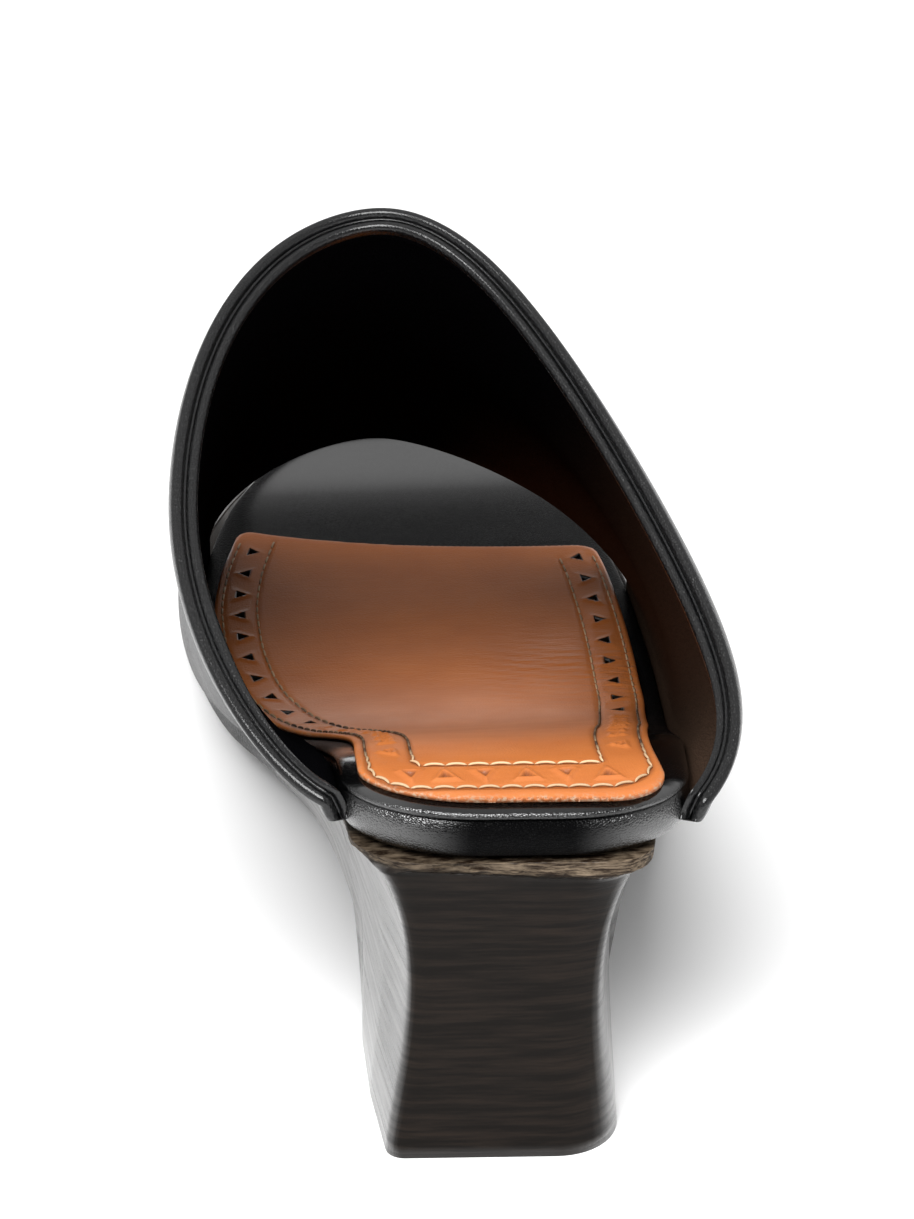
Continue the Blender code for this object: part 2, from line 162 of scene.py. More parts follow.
@dataclass(frozen=True)
class Table:
    """Columns of sizes against the first column, joined by smooth curves."""

    columns: tuple[str, ...]
    rows: tuple[tuple[float, ...], ...]

    def at(self, name: str, where: Array | float) -> Array:
        """Cubic Hermite curve through one column; a turning point gets a level slope.

        Args:
            name: the column.
            where: values of the first column.

        Returns:
            The column's value at each place.
        """
        data = np.array(self.rows, float)
        x, y = data[:, 0], data[:, self.columns.index(name)]
        step = np.diff(x)
        chord = np.diff(y) / step
        slope = np.empty_like(y)
        slope[1:-1] = (chord[:-1] * step[1:] + chord[1:] * step[:-1]) / (x[2:] - x[:-2])
        slope[0], slope[-1] = chord[0], chord[-1]
        slope[1:-1][chord[:-1] * chord[1:] <= 0] = 0.0
        where = np.clip(np.asarray(where, float), x[0], x[-1])
        k = np.clip(np.searchsorted(x, where, side="right") - 1, 0, len(x) - 2)
        h = x[k + 1] - x[k]
        s = (where - x[k]) / h
        return ((2 * s**3 - 3 * s**2 + 1) * y[k] + (s**3 - 2 * s**2 + s) * h * slope[k]
                + (3 * s**2 - 2 * s**3) * y[k + 1] + (s**3 - s**2) * h * slope[k + 1])


@dataclass(frozen=True)
class Placement:
    """Where the shoe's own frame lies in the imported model, in mm."""

    x: float
    y: float

    @classmethod
    def from_frame(cls, sole_tip: float, sock_lateral: float) -> Placement:
        """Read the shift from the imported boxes.

        Args:
            sole_tip: the wooden sole's largest y in the shoe's frame.
            sock_lateral: the sock lining's largest x in the shoe's frame.

        Returns:
            The placement.
        """
        lateral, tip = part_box("sock_lining")[1][0] / MM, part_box("wooden_sole")[1][1] / MM
        return cls(sock_lateral - lateral, sole_tip - tip)

    def world(self, points: Array) -> Array:
        """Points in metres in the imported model's frame."""
        return (np.asarray(points, float) - (self.x, self.y, 0.0)) * MM

    def local(self, mesh: bpy.types.Mesh) -> Array:
        """Vertex places of a mesh, in mm in the shoe's own frame."""
        flat = np.empty(len(mesh.vertices) * 3)
        mesh.vertices.foreach_get("co", flat)
        return flat.reshape(-1, 3) / MM + (self.x, self.y, 0.0)


def new_object(name: str, data: bpy.types.ID) -> bpy.types.Object:
    """New object with this data, linked to the scene."""
    made = bpy.data.objects.new(name, data)
    bpy.context.scene.collection.objects.link(made)
    return made


def make_mesh(name: str, points: Array, quads: Array, extra: list[list[int]] | None = None,
              weld: bool = True) -> bpy.types.Mesh:
    """An outward-facing, smooth mesh.

    Args:
        name: mesh name.
        points: vertices in metres.
        quads: four vertex numbers for each face.
        extra: faces of other sizes.
        weld: whether points in one place are joined, which renumbers them.

    Returns:
        The mesh.
    """
    mesh = bpy.data.meshes.new(name)
    mesh.from_pydata(points.tolist(), [], quads.tolist() + (extra or []))
    work = bmesh.new()
    work.from_mesh(mesh)
    if weld:
        bmesh.ops.remove_doubles(work, verts=work.verts, dist=WELD)
        bmesh.ops.dissolve_degenerate(work, edges=work.edges, dist=WELD / 4)
    bmesh.ops.recalc_face_normals(work, faces=work.faces)
    work.to_mesh(mesh)
    work.free()
    mesh.polygons.foreach_set("use_smooth", np.ones(len(mesh.polygons), bool))
    mesh.update()
    return mesh


def make_piece(name: str, mesh: bpy.types.Mesh, materials: list[bpy.types.Material],
               replaces: str | None = None) -> bpy.types.Object:
    """Link a mesh as a piece of the shoe, riding on its one body.

    Args:
        name: piece name.
        mesh: its finished mesh.
        materials: its finishes, in the order of the faces' numbers.
        replaces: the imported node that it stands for.

    Returns:
        The new object.
    """
    piece = new_object(name, mesh)
    mesh.materials.clear()
    for material in materials:
        mesh.materials.append(material)
    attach(piece, "root")
    if replaces:
        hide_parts(replaces)
    LOG.info("%s: %d faces", name, len(mesh.polygons))
    return piece


def set_mask(mesh: bpy.types.Mesh, name: str, values: Array) -> None:
    """Store one number for each vertex under a name that materials read."""
    data = mesh.attributes.new(name, "FLOAT", "POINT").data
    data.foreach_set("value", np.asarray(values, np.float32).ravel())


def rgba(colour: Colour) -> tuple[float, ...]:
    """The colour with full opacity."""
    return colour + (1.0,)


class Group(Enum):
    """Shader effects that several finishes share."""

    PEBBLE = "pebble_grain"
    CLOUD = "cloudy_colour"


class NodeBuilder:
    """Adds nodes to one shader tree and joins them."""

    def __init__(self, tree: bpy.types.NodeTree) -> None:
        """Keep the tree."""
        self.tree = tree

    def join(self, node: bpy.types.Node, inputs: dict[Any, Any]) -> None:
        """Set a node's sockets, each to a value or to another node's output socket."""
        for key, value in inputs.items():
            if isinstance(value, Socket):
                self.tree.links.new(value, node.inputs[key])
            else:
                node.inputs[key].default_value = value

    def add(self, kind: str, inputs: dict[Any, Any] | None = None, **settings: Any) -> bpy.types.Node:
        """Add a node.

        Args:
            kind: Blender's node type.
            inputs: for each socket, a value or another node's output socket to join.
            settings: the node's own properties.

        Returns:
            The node.
        """
        node = self.tree.nodes.new(kind)
        for key, value in settings.items():
            setattr(node, key, value)
        self.join(node, inputs or {})
        return node

    def math(self, operation: str, first: Any, second: Any = 0.0) -> Socket:
        """Output of a Math node on two values or sockets."""
        return self.add("ShaderNodeMath", {0: first, 1: second}, operation=operation).outputs[0]

    def times(self, first: Any, second: Any) -> Socket:
        """Product of two values or sockets."""
        return self.math("MULTIPLY", first, second)

    def plus(self, first: Any, second: Any) -> Socket:
        """Sum of two values or sockets."""
        return self.math("ADD", first, second)

    def mix(self, share: Any, first: Any, second: Any) -> Socket:
        """Output of a colour mix."""
        return self.add("ShaderNodeMix", {0: share, 6: first, 7: second}, data_type="RGBA").outputs[2]

    def remap(self, value: Any, low: float, high: float, to_low: float = 0.0, to_high: float = 1.0) -> Socket:
        """Output of a clamped Map Range."""
        return self.add("ShaderNodeMapRange", {0: value, 1: low, 2: high, 3: to_low, 4: to_high}).outputs[0]

    def noise(self, vector: Any, scale: Any, detail: float = 3.0, rough: float = 0.5,
              warp: float = 0.0) -> Socket:
        """Output value of a noise texture."""
        return self.add("ShaderNodeTexNoise", {"Vector": vector, "Scale": scale, "Detail": detail,
                                               "Roughness": rough, "Distortion": warp}).outputs[0]

    def stretched(self, vector: Any, scale: Triple) -> Socket:
        """Coordinates scaled apart in x, y and z."""
        return self.add("ShaderNodeMapping", {"Vector": vector, "Scale": scale}).outputs[0]

    def mask(self, name: str) -> Socket:
        """A vertex mask by its name."""
        return self.add("ShaderNodeAttribute", attribute_name=name).outputs["Fac"]

    def levelness(self) -> Socket:
        """How level the surface is: the upward part of its normal, without its sign."""
        normal = self.add("ShaderNodeNewGeometry").outputs["Normal"]
        return self.math("ABSOLUTE", self.add("ShaderNodeSeparateXYZ", {0: normal}).outputs[2])

    def effect(self, group: Group, inputs: dict[Any, Any]) -> bpy.types.Node:
        """Place a shared effect."""
        return self.add("ShaderNodeGroup", inputs, node_tree=bpy.data.node_groups[group.value])

    def bump(self, height: Any, distance: float, strength: float, normal: Any = None) -> Socket:
        """Bumped normal, over another where one is given; distance in metres."""
        under = {} if normal is None else {"Normal": normal}
        return self.add("ShaderNodeBump", {"Height": height, "Distance": distance, "Strength": strength,
                                           **under}).outputs[0]


def group_tree(group: Group, inputs: dict[str, str],
               outputs: tuple[str, ...]) -> tuple[NodeBuilder, bpy.types.Node, bpy.types.Node]:
    """A new shader group with named sockets.

    Args:
        group: which effect.
        inputs: socket names with their types, Vector or Float.
        outputs: names of the values put out.

    Returns:
        A builder for its tree, its input node and its output node.
    """
    tree = bpy.data.node_groups.new(group.value, "ShaderNodeTree")
    for name, kind in inputs.items():
        tree.interface.new_socket(name, in_out="INPUT", socket_type="NodeSocket" + kind)
    for name in outputs:
        tree.interface.new_socket(name, in_out="OUTPUT", socket_type="NodeSocketFloat")
    build = NodeBuilder(tree)
    return build, build.add("NodeGroupInput"), build.add("NodeGroupOutput")


@dataclass(frozen=True)
class PebbleGrain:
    """Shared effect: domed leather pebbles parted by creases, with a fine roughness over both."""

    wander_scale: float = 420.0
    wander: float = 0.0006
    dome_fall: float = 1.1
    crease_width: float = 0.16
    crease_depth: float = 0.45
    fine_scale: float = 5200.0
    fine_height: float = 0.25

    def build(self) -> None:
        """Height falls with the distance from each cell's centre, less the creases, plus fine noise."""
        build, given, out = group_tree(Group.PEBBLE, {"Vector": "Vector", "Scale": "Float"},
                                       ("Height", "Crease"))
        vector, scale = given.outputs["Vector"], given.outputs["Scale"]
        wander = build.add("ShaderNodeTexNoise", {"Vector": vector, "Scale": self.wander_scale,
                                                  "Detail": 2.0})
        moved = build.add("ShaderNodeVectorMath", {0: wander.outputs["Color"], "Scale": self.wander},
                          operation="SCALE").outputs[0]
        place = build.add("ShaderNodeVectorMath", {0: vector, 1: moved}, operation="ADD").outputs[0]
        cells, seams = (build.add("ShaderNodeTexVoronoi", {"Vector": place, "Scale": scale}, feature=feature)
                        for feature in ("F1", "DISTANCE_TO_EDGE"))
        dome = build.math("SUBTRACT", 1.0, build.times(cells.outputs["Distance"], self.dome_fall))
        crease = build.remap(seams.outputs["Distance"], 0.0, self.crease_width, 1.0, 0.0)
        fine = build.times(build.noise(vector, self.fine_scale, detail=2.0), self.fine_height)
        domed = build.math("SUBTRACT", dome, build.times(crease, self.crease_depth))
        build.join(out, {"Height": build.plus(domed, fine), "Crease": crease})


@dataclass(frozen=True)
class CloudyColour:
    """Shared effect: slow cloudy variation about one half."""

    detail: float = 5.0
    roughness: float = 0.55
    middle: float = 0.5

    def build(self) -> None:
        """Value is noise whose distance from the middle is multiplied by the contrast."""
        inputs = {"Vector": "Vector", "Scale": "Float", "Contrast": "Float"}
        build, given, out = group_tree(Group.CLOUD, inputs, ("Value",))
        noise = build.noise(given.outputs["Vector"], given.outputs["Scale"], self.detail, self.roughness)
        spread = build.add("ShaderNodeMath", {0: build.math("SUBTRACT", noise, self.middle),
                                              1: given.outputs["Contrast"], 2: self.middle},
                           operation="MULTIPLY_ADD", use_clamp=True)
        build.join(out, {"Value": spread.outputs[0]})


class Finish:
    """Common start of every finish: a material with a Principled shader and object coordinates."""

    @staticmethod
    def begin(name: str, **sockets: Any) -> tuple[NodeBuilder, bpy.types.Node, Socket, bpy.types.Material]:
        """New material with its constant values set on the shader's own sockets.

        Args:
            name: material name.
            sockets: values of the Principled shader's sockets, with _ for a space.

        Returns:
            A node builder, the shader, object coordinates and the material.
        """
        material = bpy.data.materials.new(name)
        material.use_nodes = True
        build = NodeBuilder(material.node_tree)
        shader = material.node_tree.nodes["Principled BSDF"]
        build.join(shader, {key.replace("_", " "): value for key, value in sockets.items()})
        return build, shader, build.add("ShaderNodeTexCoord").outputs["Object"], material


@dataclass(frozen=True)
class BlackLeather(Finish):
    """Black grained leather; polished places have a clear gloss over the grain."""

    name: str
    colour: Colour = (0.003, 0.003, 0.0034)
    # painted bounce light: colour laid by mask on the lower lateral inside of the lining, for light thrown up
    # from the tan sock
    bounce_colour: Colour = (0.003, 0.003, 0.0034)
    # painted shade: a colour mixed in at the grain's creases, darker than the hood's outside leather
    creased: Colour = (0.002, 0.002, 0.002)
    crease_share: float = 0.5
    crease_rough: float = 0.12
    cell: float = 0.48
    depth: float = 0.00015
    gloss: Span = (0.26, 0.40)
    specular: float = 0.5
    coat_ior: float = 1.5
    coat_rough: float = 0.15
    coat_grain: float = 0.0
    folds: Triple = (1.0, 0.35, 1.0)
    fold_scale: float = 260.0
    fold_depth: float = 0.00022
    level_from: Span = (0.55, 0.9)
    level_folds: float = 0.02

    def material(self) -> bpy.types.Material:
        """Build it: pebbles and wrinkles as bump, gloss that varies slowly, painted shade in the grain's
        creases, and painted bounce light and polish by mask.
        """
        build, shader, place, material = self.begin(
            self.name, IOR=1.5, Specular_IOR_Level=self.specular, Coat_Roughness=self.coat_rough,
            Coat_IOR=self.coat_ior)
        grain = build.effect(Group.PEBBLE, {"Vector": place, "Scale": 1.0 / (self.cell * MM)})
        height, crease = grain.outputs["Height"], grain.outputs["Crease"]
        cloud = build.effect(Group.CLOUD, {"Vector": place, "Scale": 60.0, "Contrast": 1.6}).outputs["Value"]
        rough = build.plus(build.remap(cloud, 0.0, 1.0, *self.gloss), build.times(crease, self.crease_rough))
        # painted bounce light, mixed in by its mask
        base = build.mix(build.mask("painted_bounce"), rgba(self.colour), rgba(self.bounce_colour))
        # painted shade in the grain's creases
        base = build.mix(build.times(crease, self.crease_share), base, rgba(self.creased))
        wrinkle = build.noise(build.stretched(place, self.folds), self.fold_scale, detail=4.0, rough=0.6,
                              warp=0.8)
        upright = build.remap(build.levelness(), *self.level_from, 1.0, self.level_folds)
        folds = build.times(build.plus(wrinkle, build.times(height, self.coat_grain)), upright)
        folded = build.bump(folds, self.fold_depth, strength=0.6)
        build.join(shader, {"Base Color": base, "Roughness": rough, "Coat Weight": build.mask("polished"),
                            "Coat Normal": folded,
                            "Normal": build.bump(height, self.depth, strength=0.8, normal=folded)})
        return material


@dataclass(frozen=True)
class TanLeather(Finish):
    """Cognac sock leather, polished by wear, with fine flex wrinkles and a fuzzy cut edge."""

    name: str
    colour: Colour = (0.57, 0.185, 0.050)
    deep: Colour = (0.43, 0.125, 0.031)
    bare: Colour = (0.40, 0.28, 0.19)
    # painted shade colour, laid by mask in seams, pressed triangles, cut walls and on the forefoot under the
    # hood
    darkened: Colour = (0.085, 0.026, 0.010)
    # painted shade: near black at the rims of the punched holes
    hole_shade: Colour = (0.004, 0.003, 0.002)
    shade_share: float = 0.75
    streaks: Span = (0.35, 0.75)
    streak_share: float = 0.35
    fibres: Span = (0.48, 0.62)
    gloss: Span = (0.38, 0.28)
    worn_rough: float = 0.4
    least_crease: float = 0.07
    crease_depth: float = 0.0005
    pore: float = 0.5
    pore_depth: float = 0.00004

    def material(self) -> bpy.types.Material:
        """Build it: cloudy tan, pores, flex wrinkles by mask, painted shade in seams, triangles, on the cut
        walls and on the forefoot, near-black painted shade at the punched holes, and a worn edge with pale
        fibres.
        """
        build, shader, place, material = self.begin(self.name, IOR=1.5, Specular_IOR_Level=0.28)
        cloud = build.effect(Group.CLOUD, {"Vector": place, "Scale": 85.0, "Contrast": 1.5}).outputs["Value"]
        streak = build.noise(build.stretched(place, (0.4, 3.0, 1.0)), scale=300.0, detail=4.0)
        base = build.mix(cloud, rgba(self.deep), rgba(self.colour))
        base = build.mix(build.remap(streak, *self.streaks, self.streak_share, 0.0), base, rgba(self.deep))
        fibre = build.noise(place, scale=1500.0, detail=3.0, rough=0.7)
        worn = build.times(build.mask("worn"), build.remap(fibre, *self.fibres))
        # painted shade by its mask
        base = build.mix(build.times(build.mask("painted_shade"), self.shade_share), base, rgba(self.darkened))
        base = build.mix(worn, base, rgba(self.bare))
        # painted shade at the punched holes
        base = build.mix(build.mask("painted_hole_shade"), base, rgba(self.hole_shade))
        crease = build.noise(build.stretched(place, (0.32, 1.6, 1.0)), scale=420.0, detail=4.0, rough=0.6,
                             warp=1.2)
        creases = build.times(crease, build.plus(self.least_crease, build.mask("flexed")))
        creased = build.bump(creases, self.crease_depth, strength=0.8)
        grain = build.effect(Group.PEBBLE, {"Vector": place, "Scale": 1.0 / (self.pore * MM)})
        rough = build.plus(build.remap(cloud, 0.0, 1.0, *self.gloss), build.times(worn, self.worn_rough))
        build.join(shader, {"Base Color": base, "Roughness": rough,
                            "Normal": build.bump(grain.outputs["Height"], self.pore_depth, strength=0.5,
                                                 normal=creased)})
        return material


@dataclass(frozen=True)
class StainedWood(Finish):
    """Dark stained wood under a worn satin finish, raw and fibrous on the broken ledge."""

    name: str
    dark: Colour = (0.004, 0.0028, 0.002)
    warm: Colour = (0.017, 0.0105, 0.0068)
    raw: Colour = (0.21, 0.16, 0.11)
    shade: Colour = (0.016, 0.009, 0.005)
    level_from: Span = (0.6, 0.85)
    streaks: Span = (0.42, 0.72)
    clouds: Span = (0.35, 1.0)
    fibres: Span = (0.42, 0.68)
    streak_gloss: Reach = (0.3, 0.8, 0.30, 0.46)
    streak_coat: Reach = (0.35, 0.62, 0.66, 1.0)
    streak_height: float = 0.35
    raw_rough: float = 0.35
    depth: float = 0.00035

    def material(self) -> bpy.types.Material:
        """Build it: thin level streaks on upright faces, lengthwise ones on level faces, fibres by mask."""
        build, shader, place, material = self.begin(self.name, IOR=1.5, Specular_IOR_Level=0.05,
                                                    Coat_Roughness=0.11, Coat_IOR=1.9)
        upright = build.noise(build.stretched(place, (0.06, 0.035, 1.0)), scale=900.0, detail=5.0, rough=0.65)
        level = build.noise(build.stretched(place, (1.0, 0.035, 0.3)), scale=620.0, detail=5.0, rough=0.6)
        flat = build.remap(build.levelness(), *self.level_from)
        streak = build.add("ShaderNodeMix", {0: flat, 2: upright, 3: level}).outputs[0]
        cloud = build.effect(Group.CLOUD, {"Vector": place, "Scale": 45.0, "Contrast": 1.4}).outputs["Value"]
        warmth = build.times(build.remap(streak, *self.streaks), build.remap(cloud, 0.0, 1.0, *self.clouds))
        base = build.mix(warmth, rgba(self.dark), rgba(self.warm))
        fibre = build.noise(build.stretched(place, (0.10, 0.35, 1.0)), scale=2400.0, detail=4.0, rough=0.7)
        raw = build.mask("raw")
        torn = build.mix(build.remap(fibre, *self.fibres), rgba(self.shade), rgba(self.raw))
        base = build.mix(raw, base, torn)
        rough = build.plus(build.remap(streak, *self.streak_gloss), build.times(raw, self.raw_rough))
        height = build.plus(build.times(streak, build.plus(self.streak_height, raw)), build.times(fibre, raw))
        coat = build.times(build.mask("polished"), build.remap(streak, *self.streak_coat))
        build.join(shader, {"Base Color": base, "Roughness": rough, "Coat Weight": coat,
                            "Normal": build.bump(height, self.depth, strength=0.7)})
        return material


@dataclass(frozen=True)
class Thread(Finish):
    """Waxed thread: pale, or darker by each stitch's own mask: real soil at the back, painted shade along the
    sides.
    """

    name: str
    pale: Colour = (0.72, 0.50, 0.29)
    # dark colour by mask: real soil on the pale stitches at the back, painted shade along the sides
    darkened: Colour = (0.05, 0.026, 0.014)
    twist_depth: float = 0.0001

    def material(self) -> bpy.types.Material:
        """Build it: the mix by each stitch's own mask, with a twist as bump."""
        build, shader, place, material = self.begin(self.name, Roughness=0.6)
        base = build.mix(build.mask("darkened"), rgba(self.pale), rgba(self.darkened))
        twist = build.noise(place, scale=2600.0, detail=2.0)
        build.join(shader, {"Base Color": base, "Normal": build.bump(twist, self.twist_depth, strength=0.6)})
        return material


@dataclass(frozen=True)
class Board:
    """Plan and height of the footbed, which every other piece sits on."""

    table: Table = Table(
        ("along", "medial", "lateral", "height", "board"),
        ((0.0, 24.8, 26.6, 61.7, 9.1), (14.0, 24.8, 27.4, 61.1, 9.1), (28.0, 24.6, 29.2, 57.6, 9.1),
         (49.0, 24.2, 32.4, 48.7, 8.7), (74.0, 24.2, 35.6, 37.0, 7.9), (96.0, 26.4, 38.2, 26.7, 6.6),
         (109.0, 28.4, 39.8, 20.8, 5.8), (122.0, 30.6, 41.4, 16.2, 5.2), (137.0, 34.6, 42.7, 13.5, 4.8),
         (156.0, 38.5, 43.6, 12.6, 4.5), (176.0, 40.2, 43.8, 12.5, 4.5), (205.0, 40.8, 43.6, 13.2, 4.5),
         (232.0, 40.8, 43.2, 15.6, 4.5), (258.0, 40.8, 43.0, 19.4, 4.5)))
    length: float = 258.0
    toe_start: float = 176.0
    toe_blunt: float = 2.4
    back: float = 1.4
    corner: Span = (14.5, 20.0)
    seat_skew: float = -0.07
    skew_reach: float = 55.0
    toe_offset: float = 1.5

    def height(self, along: Array) -> Array:
        """Top of the board above the floor."""
        return self.table.at("height", along)

    def thickness(self, along: Array) -> Array:
        """Thickness of the board."""
        return self.table.at("board", along)

    def toe_share(self, along: Array, start: float, end: float) -> Array:
        """Share of the half width left towards the toe: a blunt ellipse, (1 - s^n) to the power 1/n."""
        s = np.clip((along - start) / (end - start), 0.0, 0.997)
        return (1.0 - s**self.toe_blunt) ** (1.0 / self.toe_blunt)

    @staticmethod
    def corner_cut(along: Array, back: float, reach: Array | float, across: Array | float) -> Array:
        """What an oval plan corner takes off the half width near the back edge."""
        s = np.clip((along - back) / reach, 0.0, 1.0)
        return across * (1.0 - np.sqrt(1.0 - (1.0 - s) ** 2))

    def toe_shift(self, along: Array) -> Array:
        """How far the axis has moved to the lateral side."""
        return self.toe_offset * ease((along - self.toe_start) / (self.length - self.toe_start))

    def skew(self, along: Array, x: Array) -> Array:
        """Station shift that leans the back edge away from square."""
        return self.seat_skew * x * (1.0 - ease(along / self.skew_reach))

    def unskew(self, x: Array, y: Array) -> Array:
        """Station of a place on the seat: the shift is taken off in four rounds."""
        along = y
        for _ in range(4):
            along = y - self.skew(along, x)
        return along

    def edge(self, along: Array, side: Side) -> Array:
        """x of the widest line of the board."""
        half = self.table.at(side.name.lower(), along) - self.corner_cut(along, self.back, *self.corner)
        return self.toe_shift(along) + side.value * half * self.toe_share(along, self.toe_start, self.length)


@dataclass(frozen=True)
class Footbed:
    """Padded board wrapped in black leather: a bead round the top, a groove and a full band below it."""

    board: Board
    points_round: int = 620
    dense: int = 4000
    # section of the edge from the top face down: inset from the outline, share of the thickness
    rolled: tuple[Span, ...] = (
        (5.2, 0.0), (3.6, 0.004), (2.2, 0.022), (1.1, 0.062), (0.42, 0.115), (0.30, 0.165), (0.62, 0.205),
        (1.0, 0.225), (0.72, 0.25), (0.25, 0.33), (0.0, 0.48), (0.15, 0.64), (0.85, 0.82), (2.2, 0.945),
        (4.8, 1.0))
    rows_rolled: int = 44
    rows_top: int = 26
    rows_under: int = 5
    spine: Span = (30.0, 226.0)
    soft_rounds: int = 3
    polish_middle: float = 1.0
    polish_ends: Span = (7.0, 20.0)
    polish_near: Span = (40.0, 70.0)
    bead_top: Span = (-2.1, -1.5)
    bead_polish: float = 0.5
    toe_polish: Span = (196.0, 212.0)
    toe_medial: Span = (27.0, 32.0)

    def outline(self) -> Array:
        """Closed plan line of the widest edge: out along the lateral side, back along the medial side."""
        turn = 0.5 - 0.5 * np.cos(np.pi * np.linspace(0.0, 1.0, self.dense))
        along = self.board.back + (self.board.length - self.board.back) * turn
        lateral = np.column_stack([self.board.edge(along, Side.LATERAL), along])
        medial = np.column_stack([self.board.edge(along, Side.MEDIAL), along])[::-1]
        line = resample(np.vstack([lateral, medial]), self.points_round, closed=True)
        for _ in range(self.soft_rounds):
            line = (np.roll(line, 1, axis=0) + 2.0 * line + np.roll(line, -1, axis=0)) / 4.0
        return line

    def surface(self) -> Array:
        """Rows of points from the top's spine over the rolled edge to the spine underneath.

        The edge rows are the outline moved inward by an inset and down by a share of the thickness; the other
        rows run from the edge to a spine line, and every height is read from the board at its own station.
        """
        line = self.outline()
        ahead = np.roll(line, -1, axis=0) - np.roll(line, 1, axis=0)
        outward = np.column_stack([ahead[:, 1], -ahead[:, 0]])
        outward /= np.linalg.norm(outward, axis=1, keepdims=True)
        knots = np.array(self.rolled)
        key = np.arange(len(knots), dtype=float)
        want = np.linspace(0.0, len(knots) - 1.0, self.rows_rolled)
        curve = Table(("knot", "inset", "depth"), tuple(zip(key, knots[:, 0], knots[:, 1])))
        inset, depth = curve.at("inset", want), curve.at("depth", want)
        plan = line[None] - outward[None] * inset[:, None, None]
        middle_y = np.clip(line[:, 1], *self.spine)
        middle_x = (self.board.edge(middle_y, Side.LATERAL) + self.board.edge(middle_y, Side.MEDIAL)) / 2
        middle = np.column_stack([middle_x, middle_y])
        inward = np.linspace(1.0, 0.0, self.rows_top + 1)[:-1, None, None]
        under = np.linspace(0.0, 1.0, self.rows_under + 1)[1:, None, None]
        plan = np.concatenate([plan[:1] + (middle - plan[0]) * inward, plan,
                               plan[-1:] + (middle - plan[-1]) * under])
        depth = np.concatenate([np.zeros(self.rows_top), depth, np.ones(self.rows_under)])
        x, along = plan[..., 0], plan[..., 1]
        z = self.board.height(along) - depth[:, None] * self.board.thickness(along)
        return np.stack([x, along + self.board.skew(along, x), z], axis=-1)

    def build(self, place: Placement, finish: BlackLeather) -> bpy.types.Object:
        """Make the piece and dress it."""
        points = self.surface()
        mesh = make_mesh("footbed", place.world(points.reshape(-1, 3)),
                         grid_quads(points.shape[0], points.shape[1], wrap_cols=True))
        x, y, z = place.local(mesh).T
        ends = ramp(np.abs(x - self.polish_middle), *self.polish_ends)
        bead = ramp(z - self.board.height(self.board.unskew(x, y)), *self.bead_top)
        near = 1.0 - ramp(y, *self.polish_near)
        toe = ramp(y, *self.toe_polish) * (1.0 - ramp(-x, *self.toe_medial))
        set_mask(mesh, "polished", np.maximum(np.maximum(ends, self.bead_polish * bead) * near, toe))
        # the footbed takes no painted bounce light
        set_mask(mesh, "painted_bounce", np.zeros(len(mesh.vertices)))
        return make_piece("wrapped_footbed", mesh, [finish.material()], "footbed")


